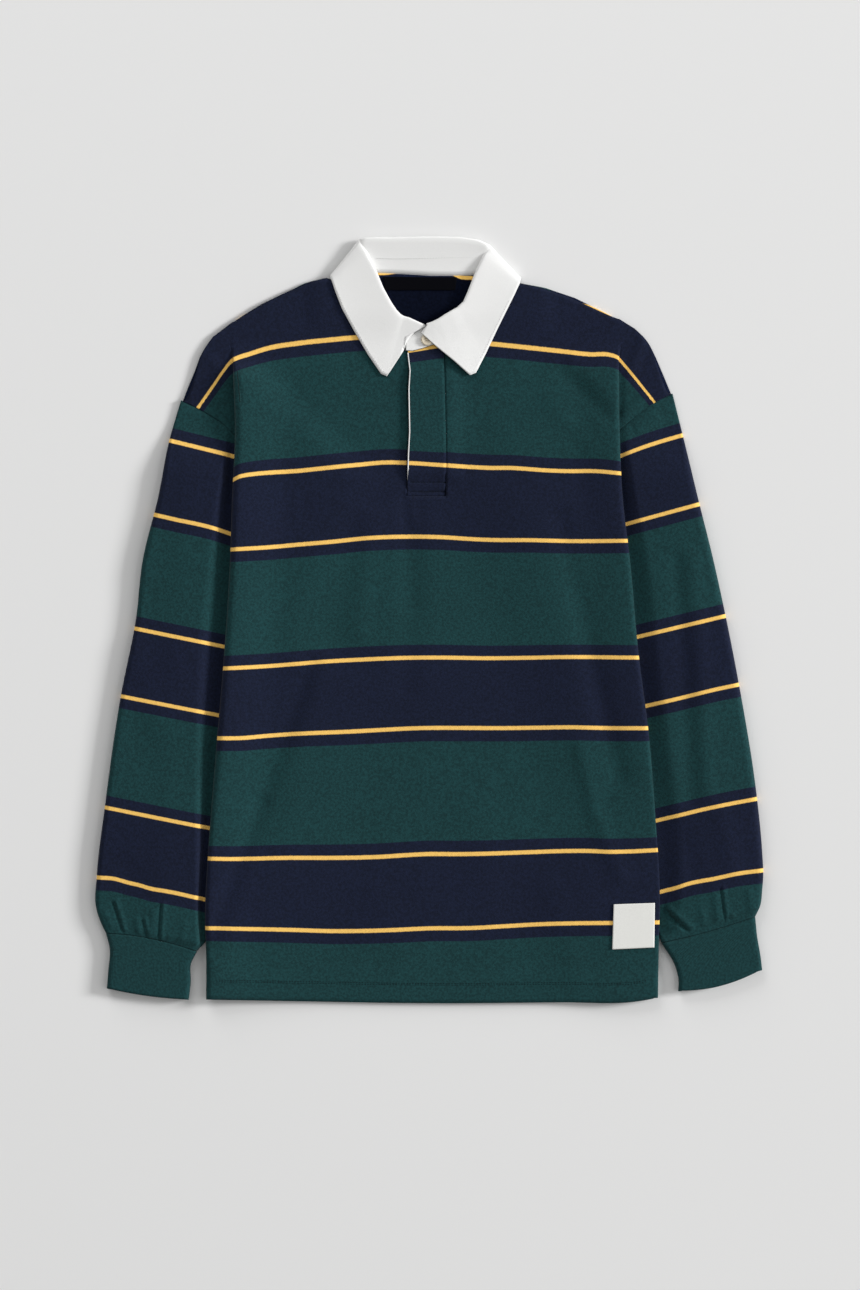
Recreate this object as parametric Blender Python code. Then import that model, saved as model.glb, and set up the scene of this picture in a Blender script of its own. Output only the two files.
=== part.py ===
"""A long-sleeved rugby-collar sweatshirt, laid flat on its back.

The sleeves fold down beside the body and pass under its sides. Each cut piece is a cloth
wall. Lengths in the tables are millimetres, and metre() brings them to Blender's units.
+X is to the right of someone who looks down on the chest, +Y points to the neck, +Z is up.
The wearer's right side is at -X. A side's own tables count X outwards from the middle.
"""
import math

import bpy
import numpy as np

MILLIMETRE = 0.001

# Cloth, mm
CLOTH = 1.5             # brushed jersey of the panels and the sleeves
RIB = 2.0               # folded rib of the cuffs
TWILL = 1.4             # interlined twill of the collar
STRIP = 1.0             # single twill of the lower placket strip
PATCH = 0.8
LABEL = 0.5
SEAM = 0.4              # room between two pieces that a seam joins
REST = 0.35             # room between a trim piece and what it lies on

# Heights of the walls' middle surfaces above the table, mm
BACK_Z = CLOTH / 2
FRONT_Z = BACK_Z + CLOTH + 0.65
SLEEVE_Z = BACK_Z + CLOTH + 0.8
SEAM_Z = BACK_Z + CLOTH + 0.4
FLAP_Z = BACK_Z + CLOTH + 0.6
RETURN_Z = SLEEVE_Z + CLOTH + 0.4
OVER_SLEEVE_Z = RETURN_Z + CLOTH + 0.55
INNER_FOLD = (RETURN_Z - FLAP_Z) / 2
CUFF_Z = RIB / 2 + RIB + 0.5

# Swells, mm
EDGE_SWELL = 4.0        # the body's rolled side edge stands this much prouder
EDGE_SWELL_WIDTH = 28.0
SLEEVE_SWELL = 5.0      # where a sleeve comes out from under the body
NECK_RAISE_BACK = 1.75  # the back panel lies on the collar's fall
NECK_RAISE_FRONT = 2.0
HEM_Y = -383.0          # the lowest point of the hem
HEM_RAISE = 0.7         # the hem's turning
HEM_DEPTH = 25.0
RETURN_RISE_Y = -365.0  # from here up, the turned-under layer climbs onto the sleeve
RETURN_RISE = 40.0
GATHER_DEPTH = 20.0     # a sleeve falls to its cuff's height in this length

# Collar, mm
COLLAR_FOLD = 1.1       # half the distance between stand and leaf
BUTTON_RADIUS = 6.0
BUTTON_THICK = 1.8


def table(columns, *rows):
    """Name the columns of a short table."""
    return dict(zip(columns.split(), np.array(rows, dtype=float).T))


# Each half of the garment, by the side of the wearer that it is on.
RIGHT = {
    "sign": -1.0,
    "slit": table(
        "y x",
        (124, 23), (139, 23), (166, 22.6), (188, 21.4), (211, 21.8), (230, 22.2), (249, 21),
        (269, 23.1)),
    "apex": (196.0, 250.0),
    "pit": (82.0, 142.0),
    # the body's side edge
    "edge": table(
        "y x",
        (-383, 223), (-330, 223), (-304, 224), (-233, 221), (-180, 217), (-119, 212),
        (-48, 206), (60, 199), (120, 197), (190, 194), (250, 196), (320, 196)),
    # the side seam's edge of the back panel
    "seam": table(
        "y x",
        (-383, 213), (-340, 214), (-305, 213.5), (-270, 208.5), (-200, 191),
        (-100, 165), (20, 127), (142, 79)),
    # the sleeve's lower crease, under the body
    "under": table(
        "y x",
        (-383, 235), (-331, 232.5), (-321, 224), (-305, 221), (-270, 212), (-200, 194),
        (-100, 168), (20, 130), (142, 82)),
    # the outline of the drop shoulder, from its corner to the armhole seam
    "outline": table(
        "y x",
        (219, 247), (232, 242), (249, 235), (265, 229), (272, 225), (283, 217)),
    "armhole": table(
        "x y",
        (82, 142), (120, 148), (160, 163), (196, 186), (208, 197), (220, 205), (232, 212),
        (247, 219)),
    # the top edge of the front, and where the same lines of cloth lie lower down
    "top": table(
        "x y across",
        (23, 270, 0), (38, 273.5, .08), (52, 284.5, .16), (64, 300.5, .24), (74, 319.5, .32),
        (80, 335, .40), (82, 342.5, .48), (97, 338.8, .56), (103, 341.6, .59), (120, 338.2, .65),
        (145, 327, .75), (168, 315.8, .84), (177, 310.5, .88), (184, 306, .92),
        (191, 301.5, .97), (196, 298, 1)),
    "sleeve_outer": table(
        "x y",
        (249, 217), (260, 180), (272, 120), (287, 60), (294, 0), (309, -76), (325, -187),
        (333, -256), (334, -286), (328, -305), (324, -313)),
    "sleeve_inner": table(
        "x y",
        (82, 140.2), (130, 20), (168, -100), (194, -200), (212, -270), (221, -305),
        (224, -321), (232.5, -331)),
    "cuff": table(
        "outer_x outer_y inner_x inner_y bow",
        (324, -313, 232.5, -331, 4), (320, -330, 239, -345, 2), (321.5, -350, 239, -361, 0),
        (323, -368, 241, -379, -2)),
    "cuff_bow": 4.0,
}
LEFT = {
    "sign": 1.0,
    "slit": table("y x", (124, 16.3), (147, 16.3), (188, 15.8), (230, 14.9), (269, 14.4)),
    "apex": (188.0, 252.0),
    "pit": (78.0, 142.0),
    "edge": table(
        "y x",
        (-383, 227), (-321, 228), (-277, 229), (-204, 225), (-107, 217), (-37, 208),
        (60, 199), (120, 192), (200, 188.5), (252, 188), (320, 188)),
    "seam": table(
        "y x",
        (-383, 217), (-340, 218), (-305, 217.5), (-270, 213.5), (-200, 194),
        (-100, 165), (20, 123), (142, 75)),
    "under": table(
        "y x",
        (-383, 239), (-322, 231), (-305, 225), (-270, 217), (-200, 197), (-100, 168),
        (20, 126), (142, 78)),
    "outline": table("y x", (226, 241), (250, 231), (266, 224), (280, 216), (291, 205)),
    "armhole": table(
        "x y",
        (78, 142), (110, 150), (150, 166), (191, 192), (207, 205), (215, 211), (225, 218),
        (241, 226)),
    "top": table(
        "x y across",
        (14.4, 269.5, 0), (31.5, 271.6, .08), (45, 282.4, .16), (56, 299, .24), (65.5, 317, .32),
        (72, 332, .40), (74, 340, .48), (88, 337, .56), (112, 331.8, .65), (137, 323, .75),
        (160, 313.2, .84), (169, 309, .88), (176, 305.8, .92), (183, 302.8, .97), (188, 301, 1)),
    "sleeve_outer": table(
        "x y",
        (242.5, 224), (252, 186), (268, 120), (283, 60), (293, 15), (309, -66), (326, -172),
        (332, -233), (333, -255), (332, -269), (330, -285), (325, -296)),
    "sleeve_inner": table(
        "x y",
        (78, 140.2), (126, 20), (168, -100), (197, -200), (217, -270), (225, -305), (231, -322)),
    "cuff": table(
        "outer_x outer_y inner_x inner_y bow",
        (325, -296, 231, -322, -2), (327, -316, 243, -341, -3), (330, -333, 248, -357, -5),
        (332, -349, 248, -370, -6)),
    "cuff_bow": -2.0,
}
SIDES = {"right": RIGHT, "left": LEFT}

HEM_LINE = table("x y", (-223, -379), (-130, -381), (0, -383), (130, -382), (208, -380.8), (227, -377.5))

BACK_TOP = table(
    "x y",
    (-217, 283), (-190, 302), (-160, 319), (-125, 336.8), (-104, 342), (-97, 340), (-80, 344.5),
    (-55, 346.8), (-28, 345.8), (0, 344), (22, 344), (44, 344.4), (70, 342.4), (88, 337),
    (115, 331.2), (145, 320.5), (175, 306), (205, 291))

# Soft ridges on the upper walls: from one end to the other, how wide and how high.
FRONT_RIDGES = table(
    "x0 y0 x1 y1 width high",
    (-26, 124, -27, 98, 5, 1.2),        # below the foot of the placket
    (-150, 296, -206, 236, 10, 1.6),    # runs into the right side's pleat
    (140, 290, 200, 226, 10, 1.6),      # runs into the left side's pleat
    (-120, 40, 40, -20, 24, 1.2),
    (150, 70, 60, -60, 26, 1.2),
    (-150, -150, -20, -260, 28, 1.1),
    (130, -180, 190, -330, 22, 1.1))
SLEEVE_RIDGES = {
    "right": table(
        "x0 y0 x1 y1 width high",
        (-315, -283, -309, -311, 4.5, 2.4),
        (-287, -299, -283, -316, 4.5, 2.2),
        (-268, -286, -271, -318, 4.5, 2.6),
        (-250, -296, -252, -324, 4.0, 1.8),
        (-300, 20, -262, -90, 16, 1.4)),
    "left": table(
        "x0 y0 x1 y1 width high",
        (239, -289, 252, -314, 4.5, 2.4),
        (294, -266, 296, -302, 4.5, 2.6),
        (303, -294, 305, -303, 4.0, 1.8),
        (272, -285, 276, -309, 4.5, 2.0),
        (300, 10, 262, -100, 16, 1.4)),
}

# The collar's sections, from the right front end round the back of the neck to the left one.
# neck: seam edge of the stand. fold: the line where it turns over. leaf: the leaf's free edge.
# turn: 90 where the leaf lies on the stand, -90 where it lies under it.
COLLAR = table(
    "neck_x neck_y fold_x fold_y leaf_x leaf_y turn neck_lift leaf_lift",
    (-14, 276, -5, 293, -24, 283, 90, 0, 0),
    (-22, 272, -21, 300.5, -27, 268, 90, 0, 0),
    (-30, 272, -26.5, 302, -43, 243.5, 90, 0, 0),
    (-38, 275, -30, 304, -49, 246, 90, 0, 0),
    (-51, 286, -34.5, 308.5, -62, 265, 90, 0, 0),
    (-63, 302, -40, 316.5, -76, 289, 90, 0, 0),
    (-73, 321, -48, 331, -88, 311, 90, 0, 0),
    (-78.5, 335, -55, 348, -95, 329, 90, 0, 0),
    (-80, 341, -64, 367, -97.5, 338.5, 60, 0, 0),
    (-80, 344.5, -70.5, 380, -98.5, 343.5, 20, 0, 0),
    (-77, 347, -70.5, 381.5, -97.5, 344.5, -25, 0, 0),
    (-73, 348, -66, 382, -92, 343, -65, 0, 0),
    (-66, 348, -56, 382, -80, 337, -90, 0, 0),
    (-45, 347.6, -38, 382.3, -48, 332, -90, 0, 0),
    (-22, 346.5, -16, 381, -20, 329, -90, 0, 0),
    (2, 345, 8, 380.5, 6, 328, -90, 0, 0),
    (26, 345, 32, 381, 34, 330, -90, 0, 0),
    (48, 346, 50, 379.5, 62, 335, -90, 0, 0),
    (62, 347, 57, 378, 80, 340.5, -65, 0, 0),
    (69, 346.5, 60.3, 377, 88, 342.5, -25, 0, 0),
    (71.5, 343.5, 60, 375, 89.5, 341.5, 20, 0, 0),
    (71.5, 339.5, 54, 366, 89, 336, 60, 0, 0),
    (70, 332, 46, 345, 84.5, 325, 90, 0, 0),
    (63, 317, 39, 327, 76, 308, 90, 0, 0),
    (54, 299, 34.5, 317, 68, 292, 90, 0, 0),
    (43, 283, 28, 311, 56, 266.5, 90, 0, .3),
    (30, 273, 21, 307, 46, 247, 90, 0, 1.2),
    (22, 271, 15, 303.5, 40, 244.5, 90, .4, 2.2),
    (15, 272, 9, 299.5, 25, 258, 90, 2.2, 3.4),
    (12, 274, 3, 296.5, 6, 273.5, 90, 3.6, 4.2),
    (10, 276, -3, 294.5, -9, 287, 90, 4.2, 4.2))


def metre(points):
    """Bring millimetres to metres."""
    return np.asarray(points, dtype=float) * MILLIMETRE


def smoothstep(value):
    """Rise from 0 to 1 with level ends: 3v^2 - 2v^3."""
    held = np.clip(value, 0.0, 1.0)
    return held * held * (3.0 - 2.0 * held)


def curve(at, along, values):
    """Read a smooth curve through a table: cubics whose slopes come from both neighbours."""
    order = np.argsort(along)
    known = along[order]
    height = values[order]
    slope = np.gradient(height, known)
    place = np.clip(at, known[0], known[-1])
    index = np.clip(np.searchsorted(known, place) - 1, 0, len(known) - 2)
    step = known[index + 1] - known[index]
    part = (place - known[index]) / step
    rise = height[index + 1] - height[index]
    blend = part * part * (3.0 - 2.0 * part)
    start_bend = part * (1.0 - part) ** 2 * step * slope[index]
    end_bend = part * part * (part - 1.0) * step * slope[index + 1]
    return height[index] + rise * blend + start_bend + end_bend


def x_at(side, name, y):
    """A side line's distance from the middle, at the height y on the garment."""
    return curve(y, side[name]["y"], side[name]["x"])


def along_line(line, part):
    """Points at the given shares of a line's own length."""
    steps = np.hypot(np.diff(line["x"]), np.diff(line["y"]))
    length = np.concatenate([[0.0], np.cumsum(steps)])
    at = np.asarray(part) * length[-1]
    return curve(at, length, line["x"]), curve(at, length, line["y"])


def ridges(rows, x, y):
    """Add up soft ridges: a bell across each one, fading out towards its ends."""
    total = np.zeros(np.broadcast(x, y).shape)
    columns = [rows[name] for name in ("x0", "y0", "x1", "y1", "width", "high")]
    for x0, y0, x1, y1, width, high in zip(*columns):
        length = math.hypot(x1 - x0, y1 - y0)
        run_x = (x1 - x0) / length
        run_y = (y1 - y0) / length
        along = (x - x0) * run_x + (y - y0) * run_y
        across = (y - y0) * run_x - (x - x0) * run_y
        fade = smoothstep(along / width + 0.5) * smoothstep((length - along) / width + 0.5)
        total += high * fade * np.exp(-((across / width) ** 2))
    return total


def back_height(x, y):
    """Height of the back panel: flat on the table, but raised on the collar's fall."""
    near_neck = smoothstep((y - 300.0) / 18.0) * smoothstep((124.0 - np.abs(x)) / 20.0)
    return BACK_Z + NECK_RAISE_BACK * near_neck


def side_line(y, side):
    """Distance from the middle beyond which the front lies on folded cloth and the sleeve."""
    apex_x, apex_y = side["apex"]
    pit_x, pit_y = side["pit"]
    pleat = pit_x + (apex_x - pit_x) * np.clip((y - pit_y) / (apex_y - pit_y), 0.0, 1.0)
    return np.where(y > pit_y, pleat, x_at(side, "under", y))


def half_front_height(out, y, side):
    """Height of the front's upper wall, at the distance out from the middle."""
    apex_y = side["apex"][1]
    lift = smoothstep((40.0 - (side_line(y, side) - out)) / 45.0)
    opening = smoothstep((apex_y + PLEAT_FADE - y) / PLEAT_FADE)
    to_edge = x_at(side, "edge", y) - out
    below_pleat = smoothstep((apex_y - y) / 60.0)
    swell = smoothstep((EDGE_SWELL_WIDTH - to_edge) / EDGE_SWELL_WIDTH) * below_pleat
    near_neck = smoothstep((y - 276.0) / 34.0) * smoothstep((128.0 - out) / 20.0)
    hem = smoothstep((HEM_Y + HEM_DEPTH + 6.0 - y) / 6.0)
    sleeve_lift = (OVER_SLEEVE_Z - FRONT_Z) * lift * opening
    swells = EDGE_SWELL * swell + NECK_RAISE_FRONT * near_neck + HEM_RAISE * hem
    return FRONT_Z + sleeve_lift + swells


def front_height(x, y):
    """Height of the front's upper wall, with its ridges."""
    out = np.abs(x)
    height = np.where(x < 0.0, half_front_height(out, y, RIGHT), half_front_height(out, y, LEFT))
    return height + ridges(FRONT_RIDGES, x, y)


def armhole_line(side, part):
    """Points of the armhole seam, at shares of the way in from the shoulder to the armpit."""
    outer_x = side["armhole"]["x"][-1]
    x = outer_x + (side["pit"][0] - outer_x) * part
    return x, curve(x, side["armhole"]["x"], side["armhole"]["y"])


# ---------------------------------------------------------------- meshes and materials

def material(name, colour, roughness, sheen=0.0):
    """A plain Principled material."""
    made = bpy.data.materials.new(name)
    made.use_nodes = True
    made.diffuse_color = (*colour, 1.0)
    shader = made.node_tree.nodes["Principled BSDF"]
    shader.inputs["Base Color"].default_value = (*colour, 1.0)
    shader.inputs["Roughness"].default_value = roughness
    shader.inputs["Sheen Weight"].default_value = sheen
    return made


def grid_faces(rows, columns, closed, keep):
    """Quads of a grid.

    closed joins the last column to the first. keep is false for each quad to leave out.
    """
    strips = columns if closed else columns - 1
    row, column = np.meshgrid(np.arange(rows - 1), np.arange(strips), indexing="ij")
    after = (column + 1) % columns
    quads = np.stack([
        row * columns + column, (row + 1) * columns + column,
        (row + 1) * columns + after, row * columns + after], axis=-1).reshape(-1, 4)
    return quads if keep is None else quads[keep.reshape(-1)]


def mesh_object(name, points, faces, surface):
    """One object at the origin, without the points that no face uses."""
    used = np.unique(faces)
    renumber = np.zeros(len(points), dtype=int)
    renumber[used] = np.arange(len(used))
    mesh = bpy.data.meshes.new(name)
    mesh.from_pydata(metre(points[used]).tolist(), [], renumber[faces].tolist())
    mesh.materials.append(surface)
    mesh.shade_smooth()
    mesh.update()
    made = bpy.data.objects.new(name, mesh)
    bpy.context.scene.collection.objects.link(made)
    return made


def cloth(name, points, thick, surface, closed=False, keep=None, even=True):
    """A cloth wall: the grid is its middle surface, and Solidify gives it both faces and its edges."""
    rows, columns = points.shape[:2]
    faces = grid_faces(rows, columns, closed, keep)
    made = mesh_object(name, points.reshape(-1, 3), faces, surface)
    wall = made.modifiers.new("Wall", "SOLIDIFY")
    wall.thickness = thick * MILLIMETRE
    wall.offset = 0.0
    wall.use_even_offset = even
    wall.use_rim = True
    return made


# ---------------------------------------------------------------- front panel

TOP_ROWS = 12           # from the shoulder to the armpit and the placket's foot
LOW_ROWS = 17           # from there to the hem
ARC_STEPS = 4
PLACKET_FOOT = 124.0
PLEAT_FADE = 30.0       # the pleat dies out in this length above its apex
FLAP_SHARES = np.array([0.35, 0.6, 0.76, 0.88, 1.0])


def layer_points(x, y, z):
    """Points from three arrays of the same rows."""
    return np.stack(np.broadcast_arrays(x, y, z), axis=-1)


def front_rows(side):
    """What each row of a half front does at the side edge, as columns of one row each.

    Below the armpit each row turns under through a half circle. Above the pleat's apex the
    turns open and die out towards the shoulder.
    """
    row = np.arange(TOP_ROWS + LOW_ROWS + 1)[:, None]
    upper = row <= TOP_ROWS
    down = np.clip(row / TOP_ROWS, 0.0, 1.0)
    low = np.clip((row - TOP_ROWS) / LOW_ROWS, 0.0, 1.0)
    top_y = side["top"]["y"][-1]
    pit_y = side["pit"][1]
    hem_y = curve(side["sign"] * side["edge"]["x"][0], HEM_LINE["x"], HEM_LINE["y"])
    y = np.where(upper, top_y + (pit_y - top_y) * down, pit_y + (hem_y - pit_y) * low)
    edge_x = x_at(side, "edge", y)
    edge_z = half_front_height(edge_x, y, side)
    return_z = SEAM_Z + (RETURN_Z - SEAM_Z) * smoothstep((y - RETURN_RISE_Y) / RETURN_RISE)
    drop = np.maximum(edge_z - np.where(upper, FLAP_Z, return_z), 0.02)
    open_share = np.clip((side["apex"][1] + PLEAT_FADE - y) / PLEAT_FADE, 0.0, 1.0)
    inner_radius = np.where(upper, np.minimum(INNER_FOLD, drop / 4), 0.0)
    outer_radius = drop / 2 - inner_radius
    return {
        "upper": upper,
        "down": down,
        "low": low,
        "y": y,
        "return_z": return_z,
        "drop": drop,
        "angle": np.maximum(math.pi * open_share ** 2, 0.02),
        "inner_radius": inner_radius,
        "outer_radius": outer_radius,
        "start_x": edge_x - outer_radius,
    }


def upper_wall(side, rows):
    """The front's upper wall, from the slit out to where the side edge starts to turn."""
    top = side["top"]
    share = top["across"][None, :]
    slit_y = top["y"][0] + (PLACKET_FOOT - top["y"][0]) * rows["down"]
    slit_x = x_at(side, "slit", slit_y)
    low_x = slit_x + (rows["start_x"] - slit_x) * share
    x = top["x"] + (low_x - top["x"]) * smoothstep(rows["down"] * 1.2)
    x[:, :1] = slit_x
    foot_y = PLACKET_FOOT + (side["pit"][1] - PLACKET_FOOT) * share
    bottom_y = curve(side["sign"] * x, HEM_LINE["x"], HEM_LINE["y"])
    above = top["y"] + (foot_y - top["y"]) * rows["down"]
    below = foot_y + (bottom_y - foot_y) * rows["low"]
    y = np.where(rows["upper"], above, below)
    x[:, -1:] = rows["start_x"]
    y[:, -1:] = rows["y"]
    return layer_points(x, y, front_height(side["sign"] * x, y))


def turn_under(rows, wall):
    """The turn round the side edge."""
    theta = rows["angle"] * (np.arange(1, ARC_STEPS + 1) / ARC_STEPS)
    x = rows["start_x"] + rows["outer_radius"] * np.sin(theta)
    z = wall[:, -1:, 2] - rows["outer_radius"] * (1.0 - np.cos(theta))
    return layer_points(x, rows["y"], z)


def layer_below(side, rows, turn):
    """The layer that comes back underneath: to the pleat's inner fold, or to the side seam."""
    pit_x, pit_y = side["pit"]
    apex_x, apex_y = side["apex"]
    y = rows["y"]
    angle = rows["angle"]
    pleat_x = pit_x + (apex_x - pit_x) * (y - pit_y) / (apex_y - pit_y)
    overlap = np.where(y < apex_y, rows["start_x"] - pleat_x - rows["inner_radius"], 0.0)
    slope = (rows["drop"] / 2) / np.tan(np.maximum(angle, 0.05) / 2)
    length = np.maximum(slope + overlap, 0.05)
    part = np.array([0.5, 0.93, 1.0])
    pleat_layer_x = turn[:, -1:, 0] + np.cos(angle) * length * part
    pleat_layer_z = turn[:, -1:, 2] - np.sin(angle) * length * part
    crest_x = np.minimum(x_at(side, "under", y) - 3.0, rows["start_x"] - 2.0)
    end_x = x_at(side, "seam", y) - 9.0
    stops = np.concatenate([(rows["start_x"] + crest_x) / 2, crest_x, end_x], axis=1)
    near_pit = smoothstep((y - pit_y + 60.0) / 55.0)
    end_z = SEAM_Z + (rows["return_z"] - SEAM_Z) * near_pit
    levels = np.concatenate([rows["return_z"], rows["return_z"], end_z], axis=1)
    x = np.where(rows["upper"], pleat_layer_x, stops)
    z = np.where(rows["upper"], pleat_layer_z, levels)
    return layer_points(x, y, z)


def drop_shoulder(side, rows, layer):
    """The pleat's inner fold, and the third layer out to the shoulder's outline."""
    angle = rows["angle"]
    radius = rows["inner_radius"]
    psi = angle * (1.0 - np.arange(1, ARC_STEPS + 1) / ARC_STEPS)
    fold_x = layer[:, -1:, 0] + radius * (np.sin(angle) - np.sin(psi))
    fold_z = layer[:, -1:, 2] - radius * (np.cos(psi) - np.cos(angle))
    outline = side["outline"]
    outline_y = outline["y"][-1] + (outline["y"][0] - outline["y"][-1]) * rows["down"]
    outline_x = curve(outline_y, outline["y"], outline["x"])
    x = fold_x[:, -1:] + (outline_x - fold_x[:, -1:]) * FLAP_SHARES
    y = rows["y"] + (outline_y - rows["y"]) * FLAP_SHARES
    seam_y = curve(x, side["armhole"]["x"], side["armhole"]["y"])
    y = y + (seam_y - y) * rows["down"] ** 3
    fold = layer_points(fold_x, rows["y"], fold_z)
    return np.concatenate([fold, layer_points(x, y, FLAP_Z)], axis=1)


def half_front(side):
    """Middle surface of one half of the front, from the slit outwards, row by row.

    The upper wall runs out to the side edge, turns under there and comes back to the side
    seam. Above the armpit it turns out once more: that third layer is the drop shoulder.
    """
    rows = front_rows(side)
    wall = upper_wall(side, rows)
    turn = turn_under(rows, wall)
    layer = layer_below(side, rows, turn)
    shoulder = drop_shoulder(side, rows, layer)
    points = np.concatenate([wall, turn, layer, shoulder], axis=1)
    before_shoulder = points.shape[1] - shoulder.shape[1]
    kept = np.ones((len(points) - 1, points.shape[1] - 1), dtype=bool)
    kept[TOP_ROWS:, before_shoulder - 1:] = False
    points[..., 0] *= side["sign"]
    return points, kept


def front_grid():
    """Both halves of the front and the strip below the placket between them."""
    right, right_kept = half_front(RIGHT)
    left, left_kept = half_front(LEFT)
    middle_share = np.array([1.0, 2.0])[None, :, None] / 3.0
    middle = right[:, :1] + (left[:, :1] - right[:, :1]) * middle_share
    middle[..., 2] = front_height(middle[..., 0], middle[..., 1])
    points = np.concatenate([right[:, ::-1], middle, left], axis=1)
    below_slit = np.arange(len(points) - 1)[:, None] >= TOP_ROWS
    middle_kept = np.repeat(below_slit, 3, axis=1)
    kept = np.concatenate([right_kept[:, ::-1], middle_kept, left_kept], axis=1)
    return points, kept


# ---------------------------------------------------------------- back panel

BACK_TOP_DOWN = np.array([0.0, 0.1, 0.2, 0.33, 0.5, 0.75])
BACK_ARM_ROWS = 5
BACK_LOW_ROWS = 12


def back_side(side):
    """The back panel's side line, from its top corner round the armhole and down the side seam."""
    outline = side["outline"]
    arm_y = side["armhole"]["y"][-1]
    top_y = outline["y"][-1] + (arm_y - outline["y"][-1]) * BACK_TOP_DOWN
    top_x = curve(top_y, outline["y"], outline["x"])
    arm_x, arm_y = armhole_line(side, np.arange(BACK_ARM_ROWS) / BACK_ARM_ROWS)
    hem_y = curve(side["sign"] * side["seam"]["x"][0], HEM_LINE["x"], HEM_LINE["y"])
    low_y = side["pit"][1] + (hem_y - side["pit"][1]) * np.arange(BACK_LOW_ROWS + 1) / BACK_LOW_ROWS
    low_x = x_at(side, "seam", low_y)
    x = np.concatenate([top_x, arm_x, low_x])
    y = np.concatenate([top_y, arm_y, low_y])
    return np.stack([side["sign"] * x, y], axis=-1)


def back_grid():
    """Rows from side line to side line. The first one follows the shoulders and the neck."""
    right = back_side(RIGHT)
    left = back_side(LEFT)
    top = np.stack([BACK_TOP["x"], BACK_TOP["y"]], axis=-1)
    share = ((BACK_TOP["x"] - BACK_TOP["x"][0]) / (BACK_TOP["x"][-1] - BACK_TOP["x"][0]))[None, :, None]
    rows = right[:, None] + (left[:, None] - right[:, None]) * share
    straight_top = rows[:1]
    fade = np.zeros((len(rows), 1, 1))
    fade[:len(BACK_TOP_DOWN), 0, 0] = 1.0 - BACK_TOP_DOWN
    rows = rows + (top[None] - straight_top) * fade
    hem = curve(rows[-1, :, 0], HEM_LINE["x"], HEM_LINE["y"])
    rows[-1, :, 1] = hem
    height = back_height(rows[..., 0], rows[..., 1])
    return np.concatenate([rows, height[..., None]], axis=-1)


# ---------------------------------------------------------------- sleeves and cuffs

def flat_tube(outer, inner, bow, upper_height, low_z, across, edge_steps, low_across):
    """Rings of a tube that lies flat.

    outer and inner are each ring's two creases in plan, and bow(share) moves the ring along
    the tube. Half circles at the creases join the upper wall to the lower one.
    """
    span = inner - outer
    width = np.linalg.norm(span, axis=1, keepdims=True)
    inward = span / width
    rows = len(outer)

    def plan(share):
        line = outer[:, None] + span[:, None] * share[..., None]
        line[..., 1] += bow(share)
        return line

    def crease_radius(share):
        place = plan(np.full((rows, 1), share))
        return (upper_height(place[..., 0], place[..., 1]) - low_z) / 2

    outer_radius = crease_radius(0.04)
    inner_radius = crease_radius(0.98)
    begin = outer_radius / width
    end = 1.0 - inner_radius / width
    top_share = begin + (end - begin) * across[None, :]
    top_plan = plan(top_share)
    top_z = upper_height(top_plan[..., 0], top_plan[..., 1])
    top_z[:, :1] = low_z + 2 * outer_radius
    top_z[:, -1:] = low_z + 2 * inner_radius
    upper = np.concatenate([top_plan, top_z[..., None]], axis=-1)
    low_share = end + (begin - end) * low_across[None, :]
    low_plan = plan(low_share)
    lower = np.concatenate([low_plan, np.full(low_share.shape + (1,), low_z)], axis=-1)

    theta = (math.pi * np.arange(1, edge_steps) / edge_steps)[None, :, None]

    def half_circle(centre, radius, direction, first_angle):
        angle = first_angle + theta
        flat = centre[:, None, :2] + direction[:, None] * radius[:, None] * np.sin(theta)
        rise = low_z + radius[:, None] * (1.0 + np.cos(angle))
        return np.concatenate([flat, rise * np.ones(flat.shape[:2] + (1,))], axis=-1)

    turn_in = half_circle(upper[:, -1], inner_radius, inward, 0.0)
    turn_out = half_circle(lower[:, -1], outer_radius, -inward, math.pi)
    return np.concatenate([upper, turn_in, lower, turn_out], axis=1)


SLEEVE_ROWS = np.array([0, .05, .11, .17, .24, .31, .38, .46, .54, .62, .7, .78, .85, .9, .94, .97, 1.0])
SLEEVE_ACROSS = np.array([0, .03, .09, .2, .32, .4, .47, .54, .61, .68, .75, .83, .91, 1.0])
SLEEVE_LOW = np.array([0, .2, .4, .6, .8, 1.0])


def cuff_seam_y(side, out):
    """The cuff's seam, a straight line from crease to crease, at the distance out."""
    cuff = side["cuff"]
    inner = (cuff["inner_x"][0], cuff["inner_y"][0])
    outer = (cuff["outer_x"][0], cuff["outer_y"][0])
    return inner[1] + (outer[1] - inner[1]) * (out - inner[0]) / (outer[0] - inner[0])


def sleeve_height(x, y, side, rows):
    """Height of the sleeve's upper wall.

    It is flat under the body, swells where it comes out and falls again to the cuff's height.
    """
    out = np.abs(x)
    beyond = out - x_at(side, "edge", y)
    swell = smoothstep((beyond - 5.0) / 22.0) * smoothstep((190.0 - y) / 60.0)
    free = SLEEVE_Z + SLEEVE_SWELL * swell + ridges(rows, x, y)
    above_cuff = smoothstep((y - cuff_seam_y(side, out)) / GATHER_DEPTH)
    return CUFF_Z + (free - CUFF_Z) * above_cuff


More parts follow.
